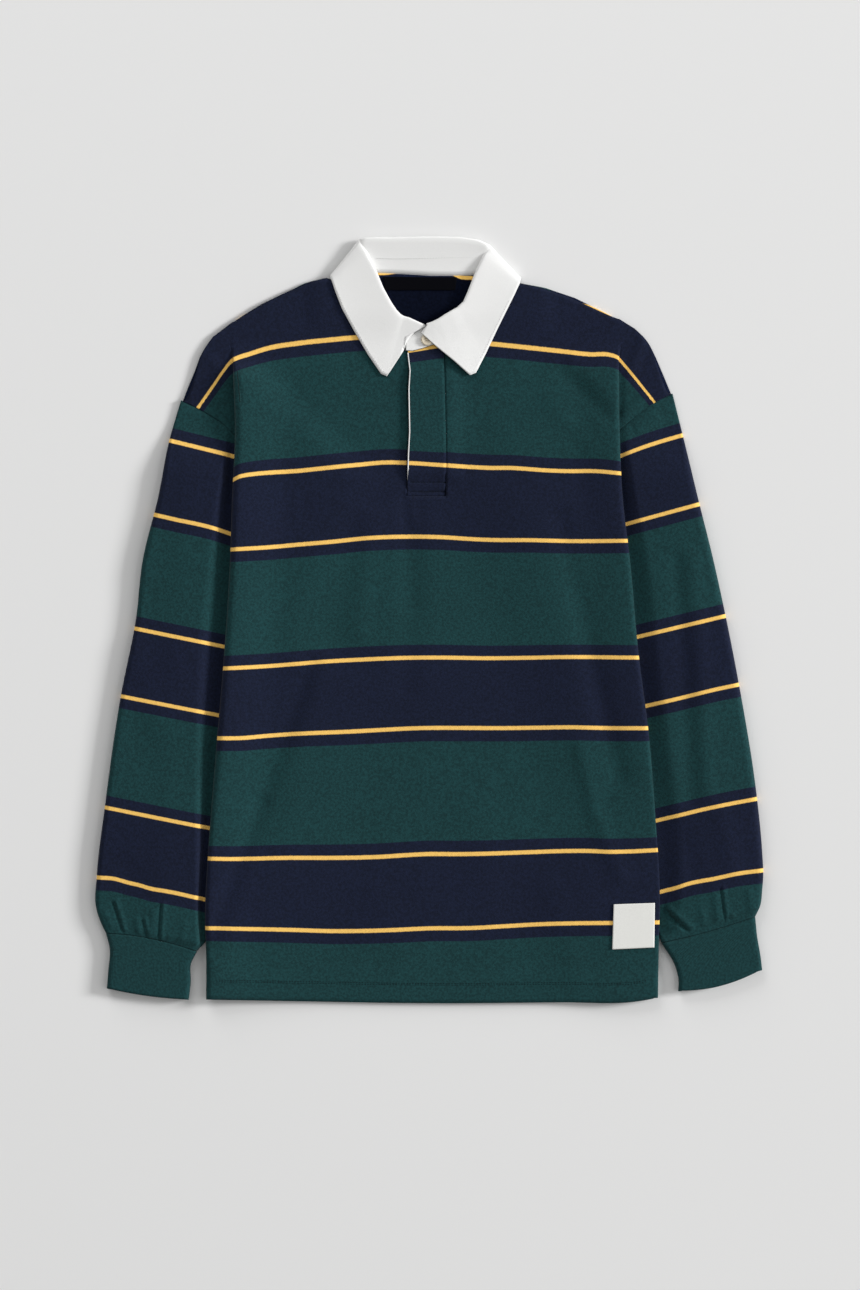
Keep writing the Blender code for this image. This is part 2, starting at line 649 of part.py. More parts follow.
def sleeve_grid(name):
    """One sleeve, from the armhole seam to the cuff seam."""
    side = SIDES[name]
    outer = np.stack(along_line(side["sleeve_outer"], SLEEVE_ROWS), axis=-1)
    inner_y = along_line(side["sleeve_inner"], SLEEVE_ROWS)[1]
    inner = np.stack([x_at(side, "under", inner_y) + CLOTH / 2, inner_y], axis=-1)
    outer[:, 0] -= CLOTH / 2
    at_armhole = (1.0 - SLEEVE_ROWS) ** 4
    at_cuff = SLEEVE_ROWS ** 8

    def bow(share):
        x = outer[0, 0] + (inner[0, 0] - outer[0, 0]) * share
        line_y = outer[0, 1] + (inner[0, 1] - outer[0, 1]) * share
        seam_y = curve(x, side["armhole"]["x"], side["armhole"]["y"]) - 2 * SEAM
        arch = side["cuff_bow"] * 4.0 * share * (1.0 - share)
        return (seam_y - line_y) * at_armhole[:, None] + arch * at_cuff[:, None]

    def height(x, y):
        return sleeve_height(side["sign"] * x, y, side, SLEEVE_RIDGES[name])

    points = flat_tube(outer, inner, bow, height, BACK_Z, SLEEVE_ACROSS, 4, SLEEVE_LOW)
    points[..., 0] *= side["sign"]
    return points


def cuff_grid(name):
    """One cuff, from the sleeve's seam to the wrist."""
    side = SIDES[name]
    rows = side["cuff"]
    outer = np.stack([rows["outer_x"] - RIB / 2, rows["outer_y"]], axis=-1)
    inner = np.stack([rows["inner_x"] + RIB / 2, rows["inner_y"]], axis=-1)
    outer[0, 1] -= SEAM
    inner[0, 1] -= SEAM

    def bow(share):
        return rows["bow"][:, None] * 4.0 * share * (1.0 - share)

    def height(x, y):
        return np.full(np.shape(x), CUFF_Z)

    across = np.linspace(0.0, 1.0, 9)
    points = flat_tube(outer, inner, bow, height, RIB / 2, across, 4, SLEEVE_LOW)
    points[..., 0] *= side["sign"]
    return points


# ---------------------------------------------------------------- collar, placket and trims

STAND_SHARES = np.array([0.0, 0.5, 1.0])
FOLD_STEPS = 4
LEAF_SHARES = np.array([0.12, 0.32, 0.55, 0.78, 1.0])


def collar_grid():
    """Sections of the collar: up the stand, over the fold, down the leaf.

    turn tells which way the leaf lies from the stand: +90 above it, 0 outside it, -90 below.
    """
    neck = np.stack([COLLAR["neck_x"], COLLAR["neck_y"]], axis=-1)
    fold = np.stack([COLLAR["fold_x"], COLLAR["fold_y"]], axis=-1)
    leaf = np.stack([COLLAR["leaf_x"], COLLAR["leaf_y"]], axis=-1)
    turn = np.radians(COLLAR["turn"])
    sign = np.where(COLLAR["fold_x"] < 0.0, -1.0, 1.0)
    aside = np.stack([sign * np.cos(turn), 0.0 * turn, np.sin(turn)], axis=-1) * COLLAR_FOLD

    def middle(place, lift):
        low = TWILL / 2 + COLLAR_FOLD
        high = front_height(place[..., 0], place[..., 1]) + COLLAR_FOLD
        z = low + (high - low) * (1.0 + np.sin(turn))[:, None] / 2 + lift
        return np.concatenate([place, z[..., None]], axis=-1)

    def between(start, end, share, start_lift, end_lift):
        place = start[:, None] + (end - start)[:, None] * share[None, :, None]
        lift = start_lift[:, None] + (end_lift - start_lift)[:, None] * share[None, :]
        return middle(place, lift)

    neck_lift = COLLAR["neck_lift"]
    leaf_lift = COLLAR["leaf_lift"]
    stand = between(neck, fold, STAND_SHARES, neck_lift, leaf_lift) - aside[:, None]
    cover = between(fold, leaf, LEAF_SHARES, leaf_lift, leaf_lift) + aside[:, None]
    crest = between(fold, leaf, np.array([0.0]), leaf_lift, leaf_lift)
    away = fold - neck
    away = away / np.linalg.norm(away, axis=1, keepdims=True)
    away = np.concatenate([away, np.zeros((len(away), 1))], axis=-1)
    theta = (math.pi * np.arange(1, FOLD_STEPS) / FOLD_STEPS)[None, :, None]
    over = crest + COLLAR_FOLD * away[:, None] * np.sin(theta) - aside[:, None] * np.cos(theta)
    over_end = crest + aside[:, None]
    return np.concatenate([stand, over, over_end, cover], axis=1)


# Lines of the small flat pieces from the top down, each from the left to the right
STRIP_LINES = (
    ((-22.65, 267), (11, 267)),
    ((-20.5, 249), (11, 249)),
    ((-21.7, 230), (11, 230)),
    ((-21.3, 211), (11, 211)),
    ((-20.9, 188), (11, 188)),
    ((-22.1, 166), (11, 166)),
    ((-22.5, 147), (11, 147)),
    ((-22.55, 124.6), (11, 124.6)))
STRIP_TOP_LINES = (
    ((-22.2, 268.7), (-18, 268.5), (-8.5, 270.9), (3.6, 275), (9, 274), (13.8, 269.3)),
    ((-18.9, 249), (13.9, 249)),
    ((-19.6, 230), (14.4, 230)),
    ((-18.6, 211), (14.8, 211)),
    ((-18.2, 188), (15.3, 188)),
    ((-20.2, 166), (15.7, 166)),
    ((-21.4, 147), (15.8, 147)),
    ((-21.8, 139), (15.8, 139)),
    ((-22.4, 124.8), (15.8, 124.8)))
TAB_LINES = (
    ((-21.8, 281.4), (-4.5, 291.3), (0, 291.8)),
    ((-24.0, 275.5), (3, 283.5)),
    ((-24.2, 269.4), (-18, 269), (-8.5, 271.4), (3.6, 275.5), (6, 276.8)))
LABEL_LINES = (((-47, 343), (27, 342.5)), ((-45, 329.5), (25, 329.5)))
PATCH_LINES = (((183.4, -284), (224.5, -282.5)), ((182, -329), (224, -327)))
BUTTON_AT = (-3.0, 280.0)
TAB_ROOM = 1.4


def line_points(line, columns):
    """Points at even steps along a short line of points."""
    corners = np.array(line, dtype=float)
    steps = np.linalg.norm(np.diff(corners, axis=0), axis=1)
    length = np.concatenate([[0.0], np.cumsum(steps)])
    at = np.linspace(0.0, length[-1], columns)
    return np.stack([np.interp(at, length, corners[:, axis]) for axis in (0, 1)], axis=-1)


def patch_on(height, lines, steps, columns, thick, room):
    """A small flat piece between lines, whose underside follows a height, with room below it.

    steps is the number of rows from each line to the next.
    """
    given = np.stack([line_points(line, columns) for line in lines])
    index = np.arange(len(lines)) * 1.0
    place = np.linspace(0.0, index[-1], (len(lines) - 1) * steps + 1)
    low = np.clip(place.astype(int), 0, len(lines) - 2)
    part = (place - low)[:, None, None]
    plan = given[low] * (1.0 - part) + given[low + 1] * part
    z = height(plan[..., 0], plan[..., 1]) + room + thick / 2
    return np.concatenate([plan, z[..., None]], axis=-1)


def disc(name, centre, radius, thick, surface):
    """The button: a turned disc with a raised rim."""
    profile = table(
        "radius z",
        (0.0, 0.0), (0.86, 0.0), (1.0, 0.25), (1.0, 0.8), (0.9, 1.0), (0.72, 1.0), (0.6, 0.7),
        (0.0, 0.7))
    steps = 20
    angle = np.arange(steps) * 2 * math.pi / steps
    ring_radius = profile["radius"][1:-1] * radius
    ring_z = profile["z"][1:-1] * thick
    x = centre[0] + ring_radius[:, None] * np.cos(angle)
    y = centre[1] + ring_radius[:, None] * np.sin(angle)
    z = centre[2] + ring_z[:, None] * np.ones(steps)
    rings = np.stack([x, y, z], axis=-1).reshape(-1, 3)
    poles = np.array([centre, centre])
    poles[1, 2] += profile["z"][-1] * thick
    count = len(ring_radius)
    first, second = np.meshgrid(np.arange(count - 1), np.arange(steps), indexing="ij")
    after = (second + 1) % steps
    quads = np.stack([
        first * steps + second, first * steps + after,
        (first + 1) * steps + after, (first + 1) * steps + second], axis=-1).reshape(-1, 4).tolist()
    spoke = np.arange(steps)
    next_spoke = (spoke + 1) % steps
    last = (count - 1) * steps
    foot = np.stack([np.full(steps, len(rings)), next_spoke, spoke], axis=-1).tolist()
    face = np.stack([np.full(steps, len(rings) + 1), last + spoke, last + next_spoke], axis=-1).tolist()
    mesh = bpy.data.meshes.new(name)
    mesh.from_pydata(metre(np.concatenate([rings, poles])).tolist(), [], quads + foot + face)
    mesh.materials.append(surface)
    mesh.shade_smooth()
    made = bpy.data.objects.new(name, mesh)
    bpy.context.scene.collection.objects.link(made)
    return made


def build():
    """Make the whole garment."""
    jersey = material("striped_jersey", (0.016, 0.045, 0.043), 0.9, 0.3)
    sleeve_jersey = material("sleeve_jersey", (0.012, 0.016, 0.036), 0.9, 0.3)
    rib = material("rib", (0.016, 0.045, 0.043), 0.9, 0.2)
    twill = material("white_twill", (0.82, 0.84, 0.85), 0.8)
    horn = material("button", (0.72, 0.66, 0.54), 0.35)
    woven = material("woven_label", (0.03, 0.028, 0.028), 0.7)

    points, kept = front_grid()
    cloth("front_panel", points, CLOTH, jersey, keep=kept)
    cloth("back_panel", back_grid(), CLOTH, jersey)
    for name in SIDES:
        cloth("sleeve_" + name, sleeve_grid(name), CLOTH, sleeve_jersey, closed=True)
        cloth("cuff_" + name, cuff_grid(name), RIB, rib, closed=True)
    cloth("collar", collar_grid(), TWILL, twill, even=False)

    # on the front's middle surface: below the cloth's face, in the slit, and above the face
    strip = patch_on(front_height, STRIP_LINES, 1, 3, STRIP, -0.9)
    cloth("placket_under", strip, STRIP, twill)
    strip_top = patch_on(front_height, STRIP_TOP_LINES, 1, 7, CLOTH, REST + 0.1)
    cloth("placket_top", strip_top, CLOTH, jersey)
    tab = patch_on(front_height, TAB_LINES, 2, 7, TWILL, TAB_ROOM)
    cloth("collar_tab", tab, TWILL, twill)
    under_button = float(front_height(BUTTON_AT[0], BUTTON_AT[1] + BUTTON_RADIUS))
    button_z = under_button + TAB_ROOM + TWILL + REST
    disc("collar_button", (*BUTTON_AT, button_z), BUTTON_RADIUS, BUTTON_THICK, horn)
    label = patch_on(back_height, LABEL_LINES, 2, 6, LABEL, CLOTH / 2 + REST)
    cloth("neck_label", label, LABEL, woven)
    patch = patch_on(front_height, PATCH_LINES, 5, 8, PATCH, CLOTH / 2 + REST + 0.2)
    cloth("hem_patch", patch, PATCH, twill)


for old in list(bpy.data.objects):
    bpy.data.objects.remove(old)
build()
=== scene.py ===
# %% [markdown]
# # A rugby-collar sweatshirt, laid flat
#
# This script dresses the CAD frame of a long-sleeved sweatshirt that lies on its back. The CAD
# gives the true sizes. Its solids could be coloured as they are, but cloth shows by its folds,
# its thin edges and its stitching, so here each cut piece becomes a thin shell of cloth on its
# solid's form, and the shell stands for the solid.
#
# +X is to the right of someone who looks down on the chest, +Y points to the neck and +Z up.
# Tables are in millimetres, and the wearer's right side is at -X. A side's own tables count X
# outwards from the middle, so that one function serves both sides.

# %% Modules
import math

import bpy
import numpy as np
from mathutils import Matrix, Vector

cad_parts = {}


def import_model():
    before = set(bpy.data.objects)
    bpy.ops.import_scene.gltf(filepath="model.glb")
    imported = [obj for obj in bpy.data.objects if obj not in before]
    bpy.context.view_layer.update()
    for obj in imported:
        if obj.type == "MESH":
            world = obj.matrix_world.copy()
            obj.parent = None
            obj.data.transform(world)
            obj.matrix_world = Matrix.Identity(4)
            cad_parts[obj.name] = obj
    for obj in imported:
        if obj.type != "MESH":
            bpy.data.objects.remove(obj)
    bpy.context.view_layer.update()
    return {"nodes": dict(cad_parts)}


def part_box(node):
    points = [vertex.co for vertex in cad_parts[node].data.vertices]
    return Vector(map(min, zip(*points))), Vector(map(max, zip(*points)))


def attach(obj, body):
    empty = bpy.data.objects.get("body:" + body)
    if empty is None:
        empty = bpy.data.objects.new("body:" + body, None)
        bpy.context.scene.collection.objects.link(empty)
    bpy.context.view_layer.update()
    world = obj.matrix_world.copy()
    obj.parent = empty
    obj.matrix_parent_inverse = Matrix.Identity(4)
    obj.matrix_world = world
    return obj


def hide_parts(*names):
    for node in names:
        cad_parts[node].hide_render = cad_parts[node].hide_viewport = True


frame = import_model()
print("frame nodes:", ", ".join(sorted(frame["nodes"])))

# %% [markdown]
# ## Sizes
#
# Brushed jersey is about 1.5 mm thick, and laid flat its pieces simply lie on each other. So the
# height of each layer is worked out from what is below it, and stays right if a cloth changes.
# Each height is that of a solid's middle surface above the table. The shells are thinner than
# the solids by SHELL_TRIM, so that no two of them touch.

# %% Sizes, mm
MILLIMETRE = 0.001
SHELL_TRIM = 0.1
CLOTH = 1.5
RIB = 2.0
TWILL = 1.4
STRIP = 1.0
PATCH = 0.8
LABEL = 0.5
SEAM = 0.4
REST = 0.35

# The number at the end of a line is the air below that layer
BACK_Z = CLOTH / 2
FRONT_Z = BACK_Z + CLOTH + 0.65
SLEEVE_Z = BACK_Z + CLOTH + 0.8
SEAM_Z = BACK_Z + CLOTH + 0.4
FLAP_Z = BACK_Z + CLOTH + 0.6
RETURN_Z = SLEEVE_Z + CLOTH + 0.4
OVER_SLEEVE_Z = RETURN_Z + CLOTH + 0.55
INNER_FOLD = (RETURN_Z - FLAP_Z) / 2
CUFF_AIR = 5.0
CUFF_Z = RIB / 2 + RIB + CUFF_AIR
print("layers from the table up:", BACK_Z, FRONT_Z, SLEEVE_Z, RETURN_Z, OVER_SLEEVE_Z)

# %% [markdown]
# ## Small tools for tables and curves
#
# The outline of a garment is a few dozen measured points. Blender's own curves could hold them,
# but every panel has to ask the same line for its place at any height, so the points stay in
# short numpy tables that are read smoothly.


# %% Steps
def smoothstep(value):
    """Rise from 0 to 1 with level ends: 3v^2 - 2v^3."""
    held = np.clip(value, 0.0, 1.0)
    return held * held * (3.0 - 2.0 * held)


def past(value, limit, length):
    """0 up to a limit and 1 from a length past it: the smooth step of their distance."""
    return smoothstep((value - limit) / length)


def before(value, limit, length):
    """1 down to a length before a limit and 0 from the limit on."""
    return smoothstep((limit - value) / length)


# %% Tables and curves
def table(columns, *rows):
    """Name the columns of a short table."""
    return dict(zip(columns.split(), np.array(rows, dtype=float).T))


def curve(at, along, values):
    """Read a smooth curve through a table: a cubic from each row to the next.

    It meets the rows' values, and its slopes there are those of the rows on both sides.
    """
    order = np.argsort(along)
    known = along[order]
    height = values[order]
    slope = np.gradient(height, known)
    place = np.clip(at, known[0], known[-1])
    index = np.clip(np.searchsorted(known, place) - 1, 0, len(known) - 2)
    step = known[index + 1] - known[index]
    part = (place - known[index]) / step
    rise = height[index + 1] - height[index]
    blend = part * part * (3.0 - 2.0 * part)
    start_bend = part * (1.0 - part) ** 2 * step * slope[index]
    end_bend = part * part * (part - 1.0) * step * slope[index + 1]
    return height[index] + rise * blend + start_bend + end_bend


def x_at(side, name, y):
    """A side line's distance from the middle, at the height y on the garment."""
    return curve(y, side[name]["y"], side[name]["x"])


def along_line(line, part):
    """Points at the given shares of a line's length, which is the sum of its steps."""
    steps = np.hypot(np.diff(line["x"]), np.diff(line["y"]))
    length = np.concatenate([[0.0], np.cumsum(steps)])
    at = np.asarray(part) * length[-1]
    return curve(at, length, line["x"]), curve(at, length, line["y"])


def layer_points(x, y, z):
    """Points from three arrays of the same rows, each as wide as the widest."""
    return np.stack(np.broadcast_arrays(x, y, z), axis=-1)


# %% [markdown]
# ## The garment's outline, side by side
#
# Each side has its lines as tables: the edge where the front turns under, the hidden side seam,
# the layer under it, the armhole, the shoulder's outline and both creases of the sleeve. They are
# the same as in the CAD source, so that each shell lies where its solid is. The two sides of a
# garment that someone has laid down are never alike, so neither is a mirror of the other.
#
# The first numbers say how the front rises towards its folded edge. It starts lift_width inside
# the hidden folds, and hem_shelf earlier below shelf_top. The edge itself stands edge_swell higher
# over swell_width, and hem_swell is the share of that which is left near the hem.

# %% The wearer's right side
RIGHT = {
    "sign": -1.0,
    "edge_swell": 9.5,
    "swell_width": 58.0,
    "hem_swell": 0.62,
    "hem_shelf": 95.0,
    "shelf_top": -10.0,
    "shelf_spread": 0.75,
    "lift_width": 44.0,
    "slit": table(
        "y x",
        (124, 23), (139, 23), (166, 22.6), (188, 21.4), (211, 21.8), (230, 22.2), (249, 21),
        (269, 23.1)),
    "apex": (196.0, 250.0),
    "pit": (82.0, 142.0),
    "edge": table(
        "y x",
        (-383, 223), (-330, 223), (-304, 224), (-233, 221), (-180, 217), (-119, 212),
        (-48, 206), (60, 199), (120, 197), (190, 194), (250, 196), (320, 196)),
    "seam": table(
        "y x",
        (-383, 213), (-340, 214), (-305, 213.5), (-270, 208.5), (-200, 191),
        (-100, 165), (20, 127), (142, 79)),
    "under": table(
        "y x",
        (-383, 235), (-331, 232.5), (-321, 224), (-305, 221), (-270, 212), (-200, 194),
        (-100, 168), (20, 130), (142, 82)),
    "outline": table(
        "y x",
        (219, 247), (232, 242), (249, 235), (265, 229), (272, 225), (283, 217)),
    "armhole": table(
        "x y",
        (82, 142), (120, 148), (160, 163), (196, 186), (208, 197), (220, 205), (232, 212),
        (247, 219)),
    "top": table(
        "x y across",
        (23, 270, 0), (38, 273.5, .08), (52, 284.5, .16), (64, 300.5, .24), (74, 319.5, .32),
        (80, 335, .40), (82, 342.5, .48), (97, 338.8, .56), (103, 341.6, .59), (120, 338.2, .65),
        (145, 327, .75), (168, 315.8, .84), (177, 310.5, .88), (184, 306, .92),
        (191, 301.5, .97), (196, 298, 1)),
    "sleeve_outer": table(
        "x y",
        (249, 217), (260, 180), (272, 120), (287, 60), (294, 0), (309, -76), (325, -187),
        (333, -256), (334, -286), (328, -305), (324, -313)),
    "sleeve_inner": table(
        "x y",
        (82, 140.2), (130, 20), (168, -100), (194, -200), (212, -270), (221, -305),
        (224, -321), (232.5, -331)),
    "cuff": table(
        "outer_x outer_y inner_x inner_y bow",
        (324, -313, 232.5, -331, 4), (320, -330, 239, -345, 2), (321.5, -350, 239, -361, 0),
        (323, -368, 241, -379, -2)),
    "cuff_bow": 4.0,
}

# %% The wearer's left side
LEFT = {
    "sign": 1.0,
    "edge_swell": 5.0,
    "swell_width": 46.0,
    "hem_swell": 0.1,
    "hem_shelf": 60.0,
    "shelf_top": -215.0,
    "shelf_spread": 0.3,
    "lift_width": 88.0,
    "slit": table("y x", (124, 16.3), (147, 16.3), (188, 15.8), (230, 14.9), (269, 14.4)),
    "apex": (188.0, 252.0),
    "pit": (78.0, 142.0),
    "edge": table(
        "y x",
        (-383, 227), (-321, 228), (-277, 229), (-204, 225), (-107, 217), (-37, 208),
        (60, 199), (120, 192), (200, 188.5), (252, 188), (320, 188)),
    "seam": table(
        "y x",
        (-383, 217), (-340, 218), (-305, 217.5), (-270, 213.5), (-200, 194),
        (-100, 165), (20, 123), (142, 75)),
    "under": table(
        "y x",
        (-383, 239), (-322, 231), (-305, 225), (-270, 217), (-200, 197), (-100, 168),
        (20, 126), (142, 78)),
    "outline": table("y x", (226, 241), (250, 231), (266, 224), (280, 216), (291, 205)),
    "armhole": table(
        "x y",
        (78, 142), (110, 150), (150, 166), (191, 192), (207, 205), (215, 211), (225, 218),
        (241, 226)),
    "top": table(
        "x y across",
        (14.4, 269.5, 0), (31.5, 271.6, .08), (45, 282.4, .16), (56, 299, .24), (65.5, 317, .32),
        (72, 332, .40), (74, 340, .48), (88, 337, .56), (112, 331.8, .65), (137, 323, .75),
        (160, 313.2, .84), (169, 309, .88), (176, 305.8, .92), (183, 302.8, .97), (188, 301, 1)),
    "sleeve_outer": table(
        "x y",
        (242.5, 224), (252, 186), (268, 120), (283, 60), (293, 15), (309, -66), (326, -172),
        (332, -233), (333, -255), (332, -269), (330, -285), (325, -296)),
    "sleeve_inner": table(
        "x y",
        (78, 140.2), (126, 20), (168, -100), (197, -200), (217, -270), (225, -305), (231, -322)),
    "cuff": table(
        "outer_x outer_y inner_x inner_y bow",
        (325, -296, 231, -322, -2), (327, -316, 243, -341, -3), (330, -333, 248, -357, -5),
        (332, -349, 248, -370, -6)),
    "cuff_bow": -2.0,
}
SIDES = {"right": RIGHT, "left": LEFT}

# %% Hem and the top of the back
HEM_LINE = table(
    "x y",
    (-223, -379), (-130, -381), (0, -383), (130, -382), (208, -380.8), (227, -377.5))
BACK_TOP = table(
    "x y",
    (-217, 283), (-190, 302), (-160, 319), (-125, 336.8), (-104, 342), (-97, 340), (-80, 344.5),
    (-55, 346.8), (-28, 345.8), (0, 344), (22, 344), (44, 344.4), (70, 342.4), (88, 337),
    (115, 332), (145, 321.9), (175, 307.2), (190, 299), (205, 291))
print("hem from", HEM_LINE["x"][0], "to", HEM_LINE["x"][-1], "mm")

# %% [markdown]
# ## Creases
#
# Soft jersey keeps the dents of what lies under it and of how it was put down. A cloth simulation
# would find folds too, but other ones on each run and far too many, so these are given one by one.
# Each row is a soft ridge from one end to the other, with its width and height, and a negative
# height makes it a trough. Two wide low ones carry the troughs that run down the chest, so that
# those don't sink into the layer below. No two rows are alike.

# %% Creases of the front
FRONT_RIDGES = table(
    "x0 y0 x1 y1 width high",
    (-26, 128, -26.5, 99, 2.6, -1.0),
    (-20, 124, -15, 92, 4, 1.0),
    (19, 248, 19, 140, 12, 2.6),
    (126, 252, 184, 196, 7, -1.0),
    (140, 262, 190, 214, 8, 0.9),
    (112, 228, 166, 168, 10, 0.7),
    (-96, 260, -120, 176, 14, 0.5),
    (60, 210, 96, 150, 14, 0.5),
    (-116, -36, -168, -182, 10, -1.8),
    (-168, -178, -222, -330, 10, -2.6),
    (-132, -50, -186, -186, 16, -1.2),
    (-188, -180, -222, -270, 15, -0.8),
    (-104, -10, -134, -186, 13, 0.5),
    (-132, -186, -176, -286, 13, 0.5),
    (-20, 124, -20, 6, 13, -2.0),
    (-20, 4, -24, -76, 13, -1.0),
    (-20, 134, -22, -80, 70, 1.9),
    (-60, 112, -72, -20, 13, 1.4),
    (118, 130, 186, -170, 50, 1.7),
    (127, 112, 147, 25, 12, -1.6),
    (147, 27, 166, -68, 12, -1.9),
    (166, -66, 190, -165, 12, -2.0),
    (148, -118, 166, -198, 9, 1.5),
    (166, -196, 194, -264, 9, 1.4),
    (40, -180, 70, -330, 20, 0.6),
    (-60, -260, -20, -350, 18, 0.5),
    (120, -260, 150, -370, 14, 0.6))

# %% Creases of the drop shoulders
FLAP_RIDGES = table(
    "x0 y0 x1 y1 width high",
    (192, 206, 216, 224, 4.5, 1.5),
    (198, 200, 222, 217, 2.2, -0.9),
    (191, 244, 190, 200, 3.5, -0.8),
    (200, 190, 224, 208, 4.0, 1.2),
    (214, 284, 200, 246, 6, 1.3),
    (222, 262, 236, 232, 5, 0.9),
    (-198, 236, -222, 262, 6, 0.8))

# %% Creases of the sleeves, and the gathers above the cuffs
SLEEVE_RIDGES = {
    "right": table(
        "x0 y0 x1 y1 width high",
        (-317, -282, -307, -312, 1.5, -1.5),
        (-313.5, -279, -303.5, -312, 2.2, 1.1),
        (-325, -290, -317, -310, 3.0, 0.9),
        (-287, -300, -283, -317, 1.4, -1.3),
        (-284, -297, -280, -318, 2.2, 0.9),
        (-293, -298, -290, -316, 3.0, 0.8),
        (-268.5, -284, -271, -319, 1.4, -1.6),
        (-265.5, -282, -268, -320, 2.2, 1.0),
        (-276, -290, -278, -318, 3.0, 0.7),
        (-244, -300, -248, -322, 3.6, 0.7),
        (-272, 150, -284, 40, 12, 0.6),
        (-296, -20, -268, -120, 14, 0.8),
        (-290, -150, -300, -240, 12, 0.7)),
    "left": table(
        "x0 y0 x1 y1 width high",
        (233, -290, 258, -312, 2.1, -2.4),
        (238, -287, 263, -309, 3.0, 1.5),
        (229, -284, 247, -304, 4.0, -1.2),
        (290, -268, 295, -305, 1.3, -1.2),
        (293, -266, 298, -303, 2.0, 0.9),
        (284, -272, 288, -305, 3.0, 0.6),
        (297, -297, 305, -305, 1.4, -1.3),
        (300, -293, 309, -302, 2.2, 1.0),
        (270, -284, 275, -308, 3.0, 0.7),
        (318, -268, 322, -294, 4.0, 0.8),
        (206, 190, 228, 204, 4.5, 1.3),
        (244, 66, 252, -30, 8, -1.2),
        (252, -30, 260, -186, 9, -1.3),
        (261, 70, 269, -26, 9, 1.1),
        (269, -26, 278, -180, 9, 1.2),
        (250, -204, 264, -262, 10, -0.7),
        (286, -180, 304, -256, 10, 0.8)),
}


# %% Ridges
def ridges(rows, x, y):
    """Add up soft ridges: each one's height times e^-(across / width)^2, faded at both ends."""
    total = np.zeros(np.broadcast(x, y).shape)
    columns = [rows[name] for name in ("x0", "y0", "x1", "y1", "width", "high")]
    for x0, y0, x1, y1, width, high in zip(*columns):
        length = math.hypot(x1 - x0, y1 - y0)
        run_x = (x1 - x0) / length
        run_y = (y1 - y0) / length
        along = (x - x0) * run_x + (y - y0) * run_y
        across = (y - y0) * run_x - (x - x0) * run_y
        fade = smoothstep(along / width + 0.5) * smoothstep((length - along) / width + 0.5)
        total += high * fade * np.exp(-((across / width) ** 2))
    return total


for place, rows in {"front": FRONT_RIDGES, "shoulders": FLAP_RIDGES, **SLEEVE_RIDGES}.items():
    print("creases,", place + ":", len(rows["high"]))

# %% [markdown]
# ## Heights of the two panels
#
# The back lies on the table, but for the neck, where the collar falls behind it. The front lies on
# the back, climbs onto the sleeves and its own folded sides, and rises a little at the neck and at
# the turned hem. Sculpting could give such a sheet. A height for every place is better here,
# because the patch, the placket, the collar and the stitches can ask for it too. In each pair of
# constants the first number is where a rise starts or ends and the second is its length.

# %% Height of the back
NECK_RAISE_BACK = 1.75
BACK_NECK_FROM = (300.0, 18.0)
BACK_NECK_OUT = (124.0, 20.0)


def back_height(x, y):
    """Height of the back panel: its place on the table, plus the raise near the neck."""
    near_neck = past(y, *BACK_NECK_FROM) * before(np.abs(x), *BACK_NECK_OUT)
    return BACK_Z + NECK_RAISE_BACK * near_neck


# %% Height of the front
NECK_RAISE_FRONT = 2.0
FRONT_NECK_FROM = (276.0, 34.0)
FRONT_NECK_OUT = (128.0, 20.0)
HEM_Y = -383.0
HEM_DEPTH = 25.0
HEM_STEP = 6.0
HEM_RAISE = 0.7
PLEAT_FADE = 30.0
SWELL_ABOVE_APEX = 14.0
SWELL_START = 26.0
LOW_SWELL_FROM = (-120.0, 110.0)
HEM_SWELL_FROM = (-340.0, 40.0)
HEM_SWELL_LOST = 0.5
SHELF_FADE = 70.0
LIFT_EXTRA = 5.0
DEEPEST_TROUGH = 0.1


def side_line(y, side):
    """Distance from the middle beyond which the front lies on folded cloth and the sleeve.

    It is the straight pleat above the armpit, and the hidden layer's edge below it.
    """
    apex_x, apex_y = side["apex"]
    pit_x, pit_y = side["pit"]
    pleat = pit_x + (apex_x - pit_x) * np.clip((y - pit_y) / (apex_y - pit_y), 0.0, 1.0)
    return np.where(y > pit_y, pleat, x_at(side, "under", y))


def half_front_height(out, y, side):
    """Height of the front's upper wall, at the distance out from the middle.

    It is the sum of its place on the back, the climb onto the sleeve and the folded sides, and
    the raises at the folded edge, the neck and the hem.
    """
    apex_y = side["apex"][1]
    shelf = side["hem_shelf"] * before(y, side["shelf_top"], SHELF_FADE)
    reach = side["lift_width"] + shelf
    length = side["lift_width"] + LIFT_EXTRA + shelf * side["shelf_spread"]
    open_pleat = before(y, apex_y + PLEAT_FADE, PLEAT_FADE)
    climb = past(out, side_line(y, side) - reach, length) * open_pleat

    kept = 1.0 - (1.0 - side["hem_swell"]) * before(y, *LOW_SWELL_FROM)
    kept = kept * (1.0 - HEM_SWELL_LOST * before(y, *HEM_SWELL_FROM))
    kept = kept * before(y, apex_y + SWELL_ABOVE_APEX, SWELL_START)
    to_edge = x_at(side, "edge", y) - out
    swell = before(to_edge, side["swell_width"], side["swell_width"]) * kept

    near_neck = past(y, *FRONT_NECK_FROM) * before(out, *FRONT_NECK_OUT)
    hem = before(y, HEM_Y + HEM_DEPTH + HEM_STEP, HEM_STEP)
    raises = side["edge_swell"] * swell + NECK_RAISE_FRONT * near_neck + HEM_RAISE * hem
    return FRONT_Z + (OVER_SLEEVE_Z - FRONT_Z) * climb + raises


def front_height(x, y):
    """Height of the front's upper wall, with its ridges, and never below the back's top."""
    out = np.abs(x)
    height = np.where(x < 0.0, half_front_height(out, y, RIGHT), half_front_height(out, y, LEFT))
    return np.maximum(height + ridges(FRONT_RIDGES, x, y), FRONT_Z - DEEPEST_TROUGH)


